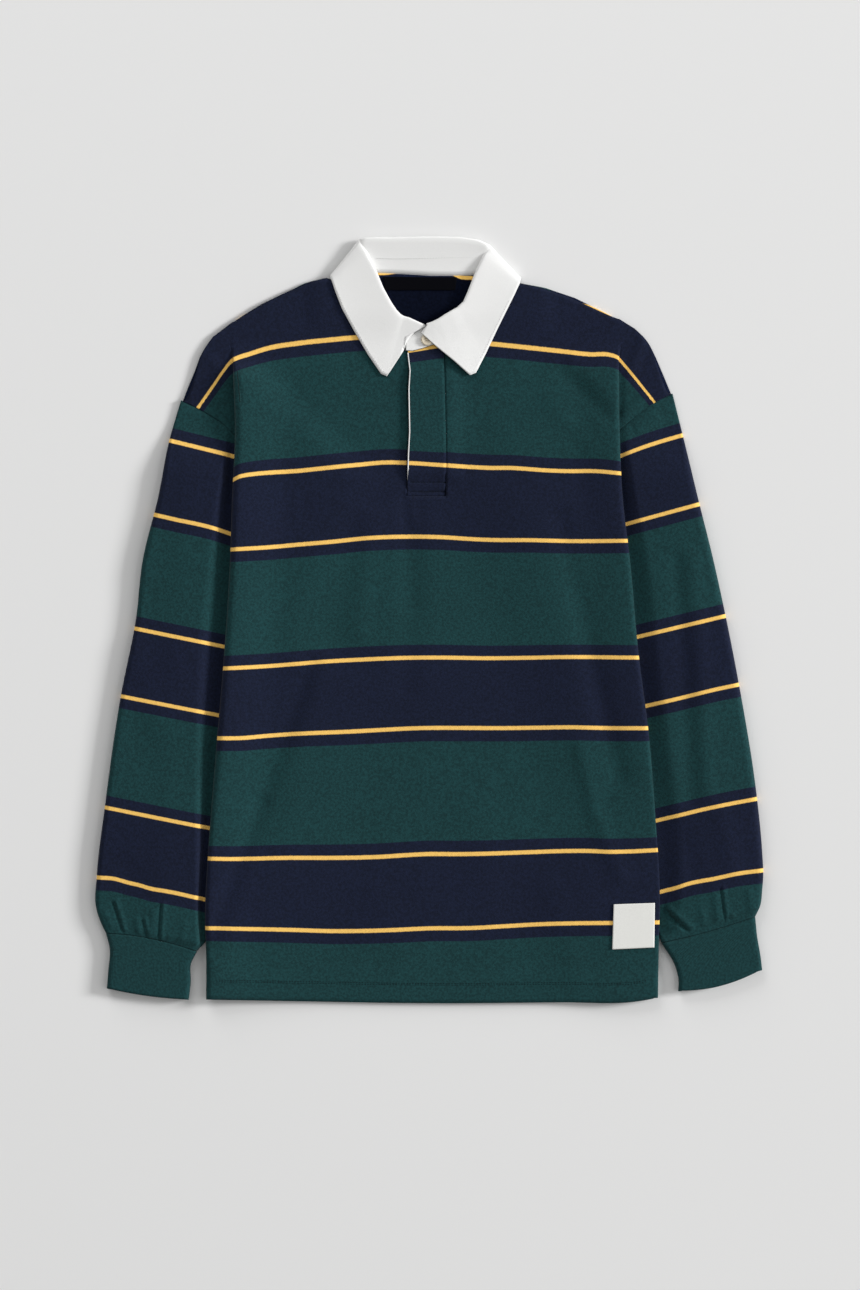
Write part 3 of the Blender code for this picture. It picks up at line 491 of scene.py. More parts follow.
def armhole_line(side, part):
    """Points of the armhole seam, at shares of the way in from the shoulder to the armpit."""
    outer_x = side["armhole"]["x"][-1]
    x = outer_x + (side["pit"][0] - outer_x) * part
    return x, curve(x, side["armhole"]["x"], side["armhole"]["y"])


print("front's height at the middle and at the folded edge:",
      round(float(front_height(0.0, -200.0)), 2), round(float(front_height(-215.0, -200.0)), 2))

# %% [markdown]
# ## Stripes
#
# The cloth is knitted with yellow lines in pairs: navy between the two lines, a narrow navy border
# outside them and green from pair to pair. A painted image would blur or slide, so each line is a
# table of points, and every point of the cloth gets one number, its stripe place. It counts the
# pairs: it is a whole number midway between the two lines of a pair and grows towards the hem, and
# a line lies LINE_SHARE of a repeat from there. The shader turns the place into colour, so the
# bands stay sharp and follow the cloth round its folds.

# %% Lines at the neck and on the placket
REPEAT = 195.0
LINE_SHARE = 36.5 / REPEAT
NECK_LINE_FRONT = table("x y", (-230, 350), (-130, 372), (0, 376), (115, 362), (230, 330))
NECK_LINE_BACK = table(
    "x y",
    (-230, 290), (-130, 320), (-62, 344.2), (-53, 346.4), (-44, 346.6), (-34, 348.0), (0, 349),
    (24, 345.5), (30, 342.6), (43, 341.5), (52, 338), (100, 319), (133, 315.5), (157, 313.4),
    (168, 309.2), (178, 305), (190, 304), (210, 303))
NECK_LINE_STRIP = table("x y", (-30, 350), (20, 350))
STRIP_LINE = table("x y", (-30, 267.6), (-12, 270.4), (6, 273.4), (20, 275.6))

# %% Lines across the body, from the shoulders to the hem
BODY_LINES = [
    table(
        "x y",
        (-232, 210.5), (-216, 234), (-203, 253), (-199.3, 257.5), (-193.5, 260.7),
        (-181.5, 264.9), (-161, 271.5), (-133.6, 276), (-102.7, 279.4), (-73.6, 282),
        (-8, 282), (58, 276), (130, 268.4), (160, 265), (180, 264.5), (187, 262), (195, 253.5),
        (204, 242.5), (213, 231), (223, 218)),
    table(
        "x y",
        (-193.5, 141), (-190.5, 142.8), (-186, 144), (-175, 145.7), (-161, 147), (-130, 149),
        (-113, 150.8), (-95, 152.7), (-72, 154.9), (-45, 157.4), (-24, 157), (13, 154.6),
        (45, 152.5), (62, 151.8), (80, 151.8), (97, 150.8), (115, 149.4), (133, 148.7),
        (168, 148.4), (192, 146)),
    table(
        "x y",
        (-197, 70.3), (-160, 72.6), (-134, 75), (-98, 78.1), (-62, 81.8), (-26, 83.2),
        (10, 82.8), (46, 80.6), (64, 79.9), (100, 79.7), (136, 78.8), (196, 79)),
    table(
        "x y",
        (-206, -48.5), (-159, -45.9), (-140, -44.4), (-102, -41.4), (-64, -39.4), (-26, -37.9),
        (11, -37.6), (58, -38.2), (100, -37.7), (130, -37.1), (208, -37.6)),
    table(
        "x y",
        (-212, -118), (-186, -117.7), (-166, -115.9), (-126, -113.3), (-86, -111.7),
        (-47, -109.7), (-27, -108.6), (-7, -107.9), (32, -107.8), (72, -108), (111, -107.5),
        (140, -107.1), (171, -107.8), (217, -108)),
    table(
        "x y",
        (-222, -238.2), (-195, -238.7), (-174, -238.4), (-153, -237.8), (-91, -237.7),
        (-70, -237.4), (-49, -236.7), (-28, -235.3), (-7, -234.1), (33, -234), (54, -233.6),
        (96, -232.2), (137, -230.9), (158, -230.8), (179, -231.6), (200, -231.2), (227, -229.8)),
    table(
        "x y",
        (-225, -307.5), (-179, -308.6), (-139, -309.6), (-98, -310.9), (-60, -310.6),
        (-36, -309.8), (0, -308.2), (39, -307.9), (75, -306), (112, -303.9), (149, -302.9),
        (183, -302.6), (228, -302)),
]

# %% Lines across the sleeves
SLEEVE_LINES = {
    "right": [
        table("x y", (-259, 179), (-194, 163)),
        table("x y", (-277, 105.4), (-254, 100.1), (-220, 92.6), (-198, 85.5)),
        table("x y", (-297, -8), (-204, -27)),
        table("x y", (-309, -76), (-210, -95.5)),
        table("x y", (-325, -187), (-220, -208)),
        table(
            "x y",
            (-333, -257), (-314, -258.6), (-302, -262), (-290, -264.8), (-278, -268.3),
            (-266, -270.3), (-254, -272.5), (-242, -275.2), (-224, -279.6)),
    ],
    "left": [
        table("x y", (191, 164), (215, 173.1), (230, 178), (252, 184.4)),
        table("x y", (197, 96), (267, 115)),
        table("x y", (207, -17), (295, 4)),
        table("x y", (214.5, -86.3), (260, -75.6), (281, -70.3), (308, -64.6)),
        table("x y", (225, -200.8), (253, -194), (276, -188.4), (298, -183.8), (327, -178.4)),
        table(
            "x y",
            (229, -272), (246, -267.5), (258, -263.4), (269, -260.9), (281, -258.8),
            (292, -256.4), (304, -253.7), (333, -249.8)),
    ],
}

# %% Stripe places
BODY_PLACES = [LINE_SHARE] + [
    pair + side * LINE_SHARE for pair in (1, 2, 3) for side in (-1, 1)]
SLEEVE_PLACES = BODY_PLACES[1:]
print("yellow lines:", len(BODY_LINES), "on the body,", len(SLEEVE_PLACES), "on each sleeve")


def line_height(line, x):
    """A line's Y on the garment: smooth through its points, straight on beyond them."""
    height = curve(x, line["x"], line["y"])
    beyond = x - np.clip(x, line["x"][0], line["x"][-1])
    slopes = np.diff(line["y"]) / np.diff(line["x"])
    return height + beyond * np.where(beyond < 0.0, slopes[0], slopes[-1])


def stripe_place(lines, places, x, y):
    """Where a point lies among the stripes: linear between the lines above and below it."""
    heights = np.stack([line_height(line, x) for line in lines])
    last = len(lines) - 1
    place = places[0] - (y - heights[0]) / REPEAT
    for index in range(last):
        upper = heights[index]
        lower = heights[index + 1]
        share = (upper - y) / (upper - lower)
        between = places[index] + (places[index + 1] - places[index]) * share
        place = np.where(y < upper, between, place)
    return np.where(y < heights[last], places[last] + (heights[last] - y) / REPEAT, place)


def body_stripes(first_lines, points):
    """Stripe places of points on a panel, whose first lines differ from the front's."""
    lines = first_lines + BODY_LINES[len(first_lines) - 1:]
    return stripe_place(lines, [-LINE_SHARE] + BODY_PLACES, points[..., 0], points[..., 1])


# %% [markdown]
# ## Shells of cloth
#
# Real cloth has two faces and a thin edge. Modelling both faces by hand would double the work,
# so a shell starts as a grid of points on the cloth's middle surface, and a Solidify modifier
# gives it its thickness. Its UV map counts metres along the cloth, so that the knit lies the
# right way, and the stripe place is a point attribute.


# %% Grids
def grid_faces(rows, columns, closed, keep):
    """Quads of a grid: each point with its neighbours in the next row and the next column.

    closed joins the last column to the first. keep is false for each quad to leave out.
    """
    strips = columns if closed else columns - 1
    row, column = np.meshgrid(np.arange(rows - 1), np.arange(strips), indexing="ij")
    after = (column + 1) % columns
    quads = np.stack([
        row * columns + column, (row + 1) * columns + column,
        (row + 1) * columns + after, row * columns + after], axis=-1).reshape(-1, 4)
    return quads if keep is None else quads[keep.reshape(-1)]


def lengths(points, axis):
    """Length along the cloth from a grid's first row or column: the running sum of its steps."""
    steps = np.linalg.norm(np.diff(points, axis=axis), axis=-1)
    start = np.zeros_like(np.take(steps, [0], axis=axis))
    return np.concatenate([start, np.cumsum(steps, axis=axis)], axis=axis)


def new_object(name, points, faces, surface):
    """One mesh object at the origin, in metres, without the points that no face uses."""
    faces = np.asarray(faces)
    used = np.unique(faces)
    renumber = np.zeros(len(points), dtype=int)
    renumber[used] = np.arange(len(used))
    mesh = bpy.data.meshes.new(name)
    mesh.from_pydata((points[used] * MILLIMETRE).tolist(), [], renumber[faces].tolist())
    mesh.materials.append(surface)
    mesh.shade_smooth()
    mesh.update()
    made = bpy.data.objects.new(name, mesh)
    bpy.context.scene.collection.objects.link(made)
    return made, used


# %% A shell of cloth
def cloth(name, points, thick, surface, closed=False, keep=None, stripes=None, even=True):
    """A shell: the grid is its middle surface, and Solidify puts half of thick on each side."""
    rows, columns = points.shape[:2]
    faces = grid_faces(rows, columns, closed, keep)
    flat = points.reshape(-1, 3)
    made, used = new_object(name, flat, faces, surface)
    u = lengths(points, 1)
    u = u - u[:, columns // 2][:, None]
    v = lengths(points, 0)
    mesh = made.data
    corner = np.zeros(len(mesh.loops), dtype=np.int32)
    mesh.loops.foreach_get("vertex_index", corner)
    cloth_uv = np.stack([u, v], axis=-1).reshape(-1, 2)[used] * MILLIMETRE
    layer = mesh.uv_layers.new(name="cloth")
    layer.data.foreach_set("uv", cloth_uv[corner].astype(np.float32).reshape(-1))
    if stripes is not None:
        place = mesh.attributes.new("stripe", "FLOAT", "POINT")
        place.data.foreach_set("value", stripes.reshape(-1)[used].astype(np.float32))
    wall = made.modifiers.new("Wall", "SOLIDIFY")
    wall.thickness = thick * MILLIMETRE
    wall.offset = 0.0
    wall.use_even_offset = even
    wall.use_rim = True
    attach(made, "root")
    print(name, "-", len(faces), "quads,", round(thick, 2), "mm thick")
    return made


# %% [markdown]
# ## The front
#
# The front is cut as one panel with a slit for the placket. Laid flat its sides are folded under:
# the upper wall runs out to the side edge, turns under there and comes back to the side seam.
# Between the pleat and the armpit it turns out once more, and that third layer is the drop
# shoulder. One grid for the whole panel keeps the stripes and the knit whole across those folds,
# where separate flat pieces would show a joint. Each row runs from the slit outwards.

# %% Rows of the front
TOP_ROWS = 54
LOW_ROWS = 122
PLACKET_FOOT = 124.0
RETURN_RISE_Y = -365.0
RETURN_RISE = 40.0
LEAST_DROP = 0.02
LEAST_ANGLE = 0.02


def front_rows(side):
    """What each row of a half front does at the side edge, as columns of one row each.

    Below the armpit each row turns under through a half circle. Above the pleat's apex the
    turns open and die out towards the shoulder.
    """
    row = np.arange(TOP_ROWS + LOW_ROWS + 1)[:, None]
    upper = row <= TOP_ROWS
    down = np.clip(row / TOP_ROWS, 0.0, 1.0)
    low = np.clip((row - TOP_ROWS) / LOW_ROWS, 0.0, 1.0)
    top_y = side["top"]["y"][-1]
    pit_y = side["pit"][1]
    hem_y = curve(side["sign"] * side["edge"]["x"][0], HEM_LINE["x"], HEM_LINE["y"])
    y = np.where(upper, top_y + (pit_y - top_y) * down, pit_y + (hem_y - pit_y) * low)
    edge_x = x_at(side, "edge", y)
    edge_z = half_front_height(edge_x, y, side)
    return_z = SEAM_Z + (RETURN_Z - SEAM_Z) * past(y, RETURN_RISE_Y, RETURN_RISE)
    drop = np.maximum(edge_z - np.where(upper, FLAP_Z, return_z), LEAST_DROP)
    open_share = np.clip((side["apex"][1] + PLEAT_FADE - y) / PLEAT_FADE, 0.0, 1.0)
    inner_radius = np.where(upper, np.minimum(INNER_FOLD, drop / 4), 0.0)
    outer_radius = drop / 2 - inner_radius
    return {
        "upper": upper,
        "down": down,
        "low": low,
        "y": y,
        "return_z": return_z,
        "drop": drop,
        "angle": np.maximum(math.pi * open_share ** 2, LEAST_ANGLE),
        "inner_radius": inner_radius,
        "outer_radius": outer_radius,
        "start_x": edge_x - outer_radius,
    }


# %% The upper wall
WALL_COLUMNS = 80
SLIT_SHARE = 0.08
STRAIGHTENING = 1.2


def upper_wall(side, rows):
    """The front's upper wall, from the slit out to where the side edge starts to turn.

    Its first row follows the neck and the shoulder, and the rows straighten on the way down.
    """
    top = side["top"]
    share = np.linspace(0.0, 1.0, WALL_COLUMNS)[None, :]
    top_x = np.interp(share, top["across"], top["x"])
    top_y = np.interp(share, top["across"], top["y"])
    slit_y = top["y"][0] + (PLACKET_FOOT - top["y"][0]) * rows["down"]
    slit_x = x_at(side, "slit", slit_y)
    low_x = slit_x + (rows["start_x"] - slit_x) * share
    x = top_x + (low_x - top_x) * smoothstep(rows["down"] * STRAIGHTENING)
    near_slit = before(share, SLIT_SHARE, SLIT_SHARE)
    x = x + (slit_x - x[:, :1]) * near_slit
    foot_y = PLACKET_FOOT + (side["pit"][1] - PLACKET_FOOT) * share
    bottom_y = curve(side["sign"] * x, HEM_LINE["x"], HEM_LINE["y"])
    above = top_y + (foot_y - top_y) * rows["down"]
    below = foot_y + (bottom_y - foot_y) * rows["low"]
    y = np.where(rows["upper"], above, below)
    x[:, -1:] = rows["start_x"]
    y[:, -1:] = rows["y"]
    return layer_points(x, y, front_height(side["sign"] * x, y))


# %% The turn at the side edge and the layer below
ARC_STEPS = 8
RETURN_SHARES = np.linspace(0.0, 1.0, 9)[1:]
CREST_SHARE = 0.75
CREST_INSIDE_CREASE = 3.0
CREST_INSIDE_EDGE = 2.0
SEAM_TUCK = 9.0
PIT_REACH = 60.0
PIT_FADE = 55.0
LEAST_LAYER = 0.6
FLATTEST_TURN = 0.05


def turn_under(rows, wall):
    """The turn round the side edge: r sin(angle) further out, r (1 - cos(angle)) down."""
    theta = rows["angle"] * (np.arange(1, ARC_STEPS + 1) / ARC_STEPS)
    x = rows["start_x"] + rows["outer_radius"] * np.sin(theta)
    z = wall[:, -1:, 2] - rows["outer_radius"] * (1.0 - np.cos(theta))
    return layer_points(x, rows["y"], z)


def layer_below(side, rows, turn):
    """The layer that comes back underneath: to the pleat's inner fold, or to the side seam.

    Above the armpit it runs straight on where the turn ends. Below, it goes level to a crest over
    the sleeve's inner crease and then down to the seam.
    """
    pit_x, pit_y = side["pit"]
    apex_x, apex_y = side["apex"]
    y = rows["y"]
    angle = rows["angle"]
    pleat_x = pit_x + (apex_x - pit_x) * (y - pit_y) / (apex_y - pit_y)
    overlap = np.where(y < apex_y, rows["start_x"] - pleat_x - rows["inner_radius"], 0.0)
    slope = (rows["drop"] / 2) / np.tan(np.maximum(angle, FLATTEST_TURN) / 2)
    length = np.maximum(slope + overlap, LEAST_LAYER)
    pleat_layer_x = turn[:, -1:, 0] + np.cos(angle) * length * RETURN_SHARES
    pleat_layer_z = turn[:, -1:, 2] - np.sin(angle) * length * RETURN_SHARES
    crease_x = x_at(side, "under", y) - CREST_INSIDE_CREASE
    crest_x = np.minimum(crease_x, rows["start_x"] - CREST_INSIDE_EDGE)
    end_x = x_at(side, "seam", y) - SEAM_TUCK
    near_pit = past(y, pit_y - PIT_REACH, PIT_FADE)
    end_z = SEAM_Z + (rows["return_z"] - SEAM_Z) * near_pit
    to_crest = np.clip(RETURN_SHARES / CREST_SHARE, 0.0, 1.0)
    past_crest = np.clip((RETURN_SHARES - CREST_SHARE) / (1.0 - CREST_SHARE), 0.0, 1.0)
    seam_layer_x = rows["start_x"] + (crest_x - rows["start_x"]) * to_crest
    seam_layer_x = seam_layer_x + (end_x - crest_x) * past_crest
    seam_layer_z = rows["return_z"] + (end_z - rows["return_z"]) * past_crest
    x = np.where(rows["upper"], pleat_layer_x, seam_layer_x)
    z = np.where(rows["upper"], pleat_layer_z, seam_layer_z)
    return layer_points(x, y, z)


# %% The drop shoulder
FLAP_SHARES = np.linspace(0.0, 1.0, 41)[1:]
FLAP_CREASES_FROM = 0.3
FLAP_CREASES_TO = 0.15
ARMHOLE_VALLEY = 1.1
VALLEY_SHARE = 0.02


def drop_shoulder(side, rows, layer):
    """The pleat's inner fold, a half circle, and the third layer out to the shoulder's outline.

    The layer ends on the armhole seam, where it dips by the seam's valley.
    """
    angle = rows["angle"]
    radius = rows["inner_radius"]
    psi = angle * (1.0 - np.arange(1, ARC_STEPS + 1) / ARC_STEPS)
    fold_x = layer[:, -1:, 0] + radius * (np.sin(angle) - np.sin(psi))
    fold_z = layer[:, -1:, 2] - radius * (np.cos(psi) - np.cos(angle))
    outline = side["outline"]
    outline_y = outline["y"][-1] + (outline["y"][0] - outline["y"][-1]) * rows["down"]
    outline_x = curve(outline_y, outline["y"], outline["x"])
    x = fold_x[:, -1:] + (outline_x - fold_x[:, -1:]) * FLAP_SHARES
    y = rows["y"] + (outline_y - rows["y"]) * FLAP_SHARES
    seam_y = curve(x, side["armhole"]["x"], side["armhole"]["y"])
    y = y + (seam_y - y) * rows["down"] ** 3
    fold = layer_points(fold_x, rows["y"], fold_z)
    valley = ARMHOLE_VALLEY * past(rows["down"], 1.0 - VALLEY_SHARE, VALLEY_SHARE)
    crumple = ridges(FLAP_RIDGES, side["sign"] * x, y) * past(FLAP_SHARES, 0.0, FLAP_CREASES_FROM)
    crumple = crumple * before(FLAP_SHARES, 1.0, FLAP_CREASES_TO)
    return np.concatenate([fold, layer_points(x, y, FLAP_Z + crumple - valley)], axis=1)


# %% The whole front
MIDDLE_COLUMNS = 10


def half_front(side):
    """Middle surface of one half of the front: its four parts side by side, row by row."""
    rows = front_rows(side)
    wall = upper_wall(side, rows)
    turn = turn_under(rows, wall)
    layer = layer_below(side, rows, turn)
    shoulder = drop_shoulder(side, rows, layer)
    points = np.concatenate([wall, turn, layer, shoulder], axis=1)
    before_shoulder = points.shape[1] - shoulder.shape[1]
    kept = np.ones((len(points) - 1, points.shape[1] - 1), dtype=bool)
    kept[TOP_ROWS:, before_shoulder - 1:] = False
    points[..., 0] *= side["sign"]
    return points, kept


def front_grid():
    """Both halves of the front, and between them the strip below the placket, in even steps."""
    right, right_kept = half_front(RIGHT)
    left, left_kept = half_front(LEFT)
    middle_share = (np.arange(1, MIDDLE_COLUMNS + 1) / (MIDDLE_COLUMNS + 1))[None, :, None]
    middle = right[:, :1] + (left[:, :1] - right[:, :1]) * middle_share
    middle[..., 2] = front_height(middle[..., 0], middle[..., 1])
    points = np.concatenate([right[:, ::-1], middle, left], axis=1)
    below_slit = np.arange(len(points) - 1)[:, None] >= TOP_ROWS
    middle_kept = np.repeat(below_slit, MIDDLE_COLUMNS + 1, axis=1)
    kept = np.concatenate([right_kept[:, ::-1], middle_kept, left_kept], axis=1)
    return points, kept


# %% [markdown]
# ## The back, under the front
#
# The back is one flat panel. It shows only in the neck and as a sliver behind the shoulder, but it
# is cut and sewn like the front, so it is built whole. Straight rows between its two side lines
# are enough, and the first of them are pulled up to the line of the shoulders and the neck.

# %% Back
BACK_TOP_DOWN = np.concatenate([np.linspace(0.0, 0.33, 10), np.linspace(0.33, 1.0, 10)[1:-1]])
BACK_ARM_ROWS = 24
BACK_LOW_ROWS = 80
BACK_COLUMNS = 120


def back_side(side):
    """The back panel's side line, from its top corner round the armhole, down the side seam."""
    outline = side["outline"]
    arm_y = side["armhole"]["y"][-1]
    top_y = outline["y"][-1] + (arm_y - outline["y"][-1]) * BACK_TOP_DOWN
    top_x = curve(top_y, outline["y"], outline["x"])
    arm_x, arm_y = armhole_line(side, np.arange(BACK_ARM_ROWS) / BACK_ARM_ROWS)
    hem_y = curve(side["sign"] * side["seam"]["x"][0], HEM_LINE["x"], HEM_LINE["y"])
    steps = np.arange(BACK_LOW_ROWS + 1) / BACK_LOW_ROWS
    low_y = side["pit"][1] + (hem_y - side["pit"][1]) * steps
    low_x = x_at(side, "seam", low_y)
    x = np.concatenate([top_x, arm_x, low_x])
    y = np.concatenate([top_y, arm_y, low_y])
    return np.stack([side["sign"] * x, y], axis=-1)


def back_grid():
    """Rows from side line to side line. The first one follows the shoulders and the neck."""
    right = back_side(RIGHT)
    left = back_side(LEFT)
    top_x = np.linspace(BACK_TOP["x"][0], BACK_TOP["x"][-1], BACK_COLUMNS)
    top = np.stack([top_x, np.interp(top_x, BACK_TOP["x"], BACK_TOP["y"])], axis=-1)
    share = np.linspace(0.0, 1.0, BACK_COLUMNS)[None, :, None]
    rows = right[:, None] + (left[:, None] - right[:, None]) * share
    straight_top = rows[:1]
    fade = np.zeros((len(rows), 1, 1))
    fade[:len(BACK_TOP_DOWN), 0, 0] = 1.0 - BACK_TOP_DOWN
    rows = rows + (top[None] - straight_top) * fade
    rows[-1, :, 1] = curve(rows[-1, :, 0], HEM_LINE["x"], HEM_LINE["y"])
    height = back_height(rows[..., 0], rows[..., 1])
    return np.concatenate([rows, height[..., None]], axis=-1)


# %% [markdown]
# ## Sleeves and cuffs
#
# A sleeve is one piece of the striped cloth sewn to a tube, and its cuff is a tube of rib, folded
# double. Both lie flat, with a soft crease on each side. A cylinder could be pressed flat, but
# that would squash its quads, so the rings are laid out flat at once: an upper wall, a half
# circle, a lower wall and another half circle. The sleeve swells where it comes out from under
# the body, and falls again to the height of its cuff, where it is gathered in.

# %% A tube that lies flat
TUBE_STEPS = 8
OUTER_CREASE = 0.04
INNER_CREASE = 0.98


def flat_tube(outer, inner, bow, upper_height, low_z, across, low_across):
    """Rings of a tube that lies flat.

    outer and inner are each ring's two creases in plan, and bow(share) moves the ring along
    the tube. Half circles at the creases join the upper wall to the lower one. Their radius is
    half of the height between the walls.
    """
    span = inner - outer
    width = np.linalg.norm(span, axis=1, keepdims=True)
    inward = span / width
    rows = len(outer)

    def plan(share):
        """Places at shares of the way from the outer crease to the inner one."""
        line = outer[:, None] + span[:, None] * share[..., None]
        line[..., 1] += bow(share)
        return line

    def crease_radius(share):
        """Half of the tube's height at a share of the way."""
        place = plan(np.full((rows, 1), share))
        return (upper_height(place[..., 0], place[..., 1]) - low_z) / 2

    outer_radius = crease_radius(OUTER_CREASE)
    inner_radius = crease_radius(INNER_CREASE)
    begin = outer_radius / width
    end = 1.0 - inner_radius / width
    top_share = begin + (end - begin) * across[None, :]
    top_plan = plan(top_share)
    top_z = upper_height(top_plan[..., 0], top_plan[..., 1])
    top_z[:, :1] = low_z + 2 * outer_radius
    top_z[:, -1:] = low_z + 2 * inner_radius
    upper = np.concatenate([top_plan, top_z[..., None]], axis=-1)
    low_share = end + (begin - end) * low_across[None, :]
    low_plan = plan(low_share)
    lower = np.concatenate([low_plan, np.full(low_share.shape + (1,), low_z)], axis=-1)

    theta = (math.pi * np.arange(1, TUBE_STEPS) / TUBE_STEPS)[None, :, None]

    def half_circle(centre, radius, direction, first_angle):
        """The turn at a crease: r sin(angle) out, and r (1 + cos(angle)) above the low wall."""
        angle = first_angle + theta
        flat = centre[:, None, :2] + direction[:, None] * radius[:, None] * np.sin(theta)
        rise = low_z + radius[:, None] * (1.0 + np.cos(angle))
        return np.concatenate([flat, rise * np.ones(flat.shape[:2] + (1,))], axis=-1)

    turn_in = half_circle(upper[:, -1], inner_radius, inward, 0.0)
    turn_out = half_circle(lower[:, -1], outer_radius, -inward, math.pi)
    return np.concatenate([upper, turn_in, lower, turn_out], axis=1)


# %% How a sleeve swells
SLEEVE_SWELL = 8.8
SWELL_FROM = {"right": 4.0, "left": 1.0}
SWELL_TOP = (200.0, 60.0)
OUTER_FALL = 0.28
OUTER_FALL_FROM = (40.0, 45.0)
NEAR_SHARE = 0.62
FULL_SWELL = 75.0
WRIST_FALL = 0.15
WRIST_FALL_FROM = (-230.0, 60.0)
SLEEVE_TROUGH = 0.2
GATHER_DEPTH = 11.0
GROOVE = {
    "right": table(
        "y width",
        (-320, 6), (-260, 8), (-180, 14), (-80, 22), (60, 20), (150, 10), (190, 6)),
    "left": table(
        "y width",
        (-320, 20), (-220, 26), (-140, 22), (60, 20), (150, 12), (190, 8)),
}


def cuff_seam_y(side, out):
    """The cuff's seam, a straight line from crease to crease, at the distance out."""
    cuff = side["cuff"]
    inner = (cuff["inner_x"][0], cuff["inner_y"][0])
    outer = (cuff["outer_x"][0], cuff["outer_y"][0])
    return inner[1] + (outer[1] - inner[1]) * (out - inner[0]) / (outer[0] - inner[0])


def sleeve_height(x, y, name):
    """Height of a sleeve's upper wall.

    It is flat under the body and swells where it comes out, over the groove's width. It gets
    lower again towards the wrist and, on the right, towards the outer crease, and falls to the
    cuff's height over the depth of the gathers.
    """
    side = SIDES[name]
    out = np.abs(x)
    beyond = out - x_at(side, "edge", y)
    width = curve(y, GROOVE[name]["y"], GROOVE[name]["width"])
    swell = past(beyond, SWELL_FROM[name], width) * before(y, *SWELL_TOP)
    if side is RIGHT:
        swell = swell * (1.0 - OUTER_FALL * past(beyond, *OUTER_FALL_FROM))
    else:
        swell = swell * (NEAR_SHARE + (1.0 - NEAR_SHARE) * past(beyond, 0.0, FULL_SWELL))
    swell = swell * (1.0 - WRIST_FALL * before(y, *WRIST_FALL_FROM))
    free = SLEEVE_Z + SLEEVE_SWELL * swell + ridges(SLEEVE_RIDGES[name], x, y)
    free = np.maximum(free, SLEEVE_Z - SLEEVE_TROUGH)
    above_cuff = past(y, cuff_seam_y(side, out), GATHER_DEPTH)
    return CUFF_Z + (free - CUFF_Z) * above_cuff


# %% Sleeves
ARMHOLE_GAP = 0.25
SEAM_SHARE = 0.006
ARMHOLE_POWER = 4
CUFF_POWER = 8
UPPER_MARGIN = 0.1
SLEEVE_ROWS = np.concatenate([
    [0.0, 0.0015, 0.003, 0.006], np.linspace(0.01, 0.8, 100), np.linspace(0.8, 1.0, 76)[1:]])
SLEEVE_ACROSS = np.linspace(0.0, 1.0, 120)
SLEEVE_LOW = np.linspace(0.0, 1.0, 40)


def sleeve_grid(name):
    """One sleeve, from the armhole seam to the cuff seam.

    Its first rings bow along the armhole's curve, and its last ones along the cuff's.
    """
    side = SIDES[name]
    outer = np.stack(along_line(side["sleeve_outer"], SLEEVE_ROWS), axis=-1)
    inner_y = along_line(side["sleeve_inner"], SLEEVE_ROWS)[1]
    inner = np.stack([x_at(side, "under", inner_y) + CLOTH / 2, inner_y], axis=-1)
    outer[:, 0] -= CLOTH / 2
    at_armhole = (1.0 - SLEEVE_ROWS) ** ARMHOLE_POWER
    at_cuff = SLEEVE_ROWS ** CUFF_POWER

    def bow(share):
        """How far each ring is pushed along the sleeve at a share of the way across."""
        x = outer[0, 0] + (inner[0, 0] - outer[0, 0]) * share
        line_y = outer[0, 1] + (inner[0, 1] - outer[0, 1]) * share
        seam_y = curve(x, side["armhole"]["x"], side["armhole"]["y"]) - ARMHOLE_GAP
        arch = side["cuff_bow"] * 4.0 * share * (1.0 - share)
        return (seam_y - line_y) * at_armhole[:, None] + arch * at_cuff[:, None]

    def height(x, y):
        """The sleeve's height at a distance out from the middle."""
        return sleeve_height(side["sign"] * x, y, name)

    points = flat_tube(outer, inner, bow, height, BACK_Z, SLEEVE_ACROSS, SLEEVE_LOW)
    valley = ARMHOLE_VALLEY * before(SLEEVE_ROWS[:, None], SEAM_SHARE, SEAM_SHARE)
    upper = points[..., 2] > SLEEVE_Z - UPPER_MARGIN
    points[..., 2] -= np.where(upper, valley, 0.0)
    points[..., 0] *= side["sign"]
    return points


# %% Cuffs
CUFF_ROWS = 24
CUFF_ACROSS = np.linspace(0.0, 1.0, 70)
CUFF_LOW = np.linspace(0.0, 1.0, 40)


def cuff_grid(name):
    """One cuff, from the sleeve's seam to the wrist: the table's rows, read more finely."""
    side = SIDES[name]
    coarse = np.arange(len(side["cuff"]["bow"])) * 1.0
    fine = np.linspace(0.0, coarse[-1], CUFF_ROWS)
    rows = {key: curve(fine, coarse, values) for key, values in side["cuff"].items()}
    outer = np.stack([rows["outer_x"] - RIB / 2, rows["outer_y"]], axis=-1)
    inner = np.stack([rows["inner_x"] + RIB / 2, rows["inner_y"]], axis=-1)
    outer[0, 1] -= SEAM
    inner[0, 1] -= SEAM

    def bow(share):
        """An arch that is level at both creases: each row's bow times 4 share (1 - share)."""
        return rows["bow"][:, None] * 4.0 * share * (1.0 - share)

    def height(x, y):
        """Level, at the cuff's height."""
        return np.full(np.shape(x), CUFF_Z)

    points = flat_tube(outer, inner, bow, height, RIB / 2, CUFF_ACROSS, CUFF_LOW)
    points[..., 0] *= side["sign"]
    return points


# %% [markdown]
# ## Collar
#
# The collar is a strip of white twill, sewn to the neck edge. It stands up as the stand, folds
# over and comes down as the leaf, with a point at each front. It could be a flat strip with
# modifiers that bend it, but then its folds and points are hard to place. So it is a row of
# sections from the right front end round the back of the neck to the left one: up the stand,
# over the fold and down the leaf. turn is 90 where the leaf lies on the stand, at the front, and
# -90 where it lies under it, at the back.

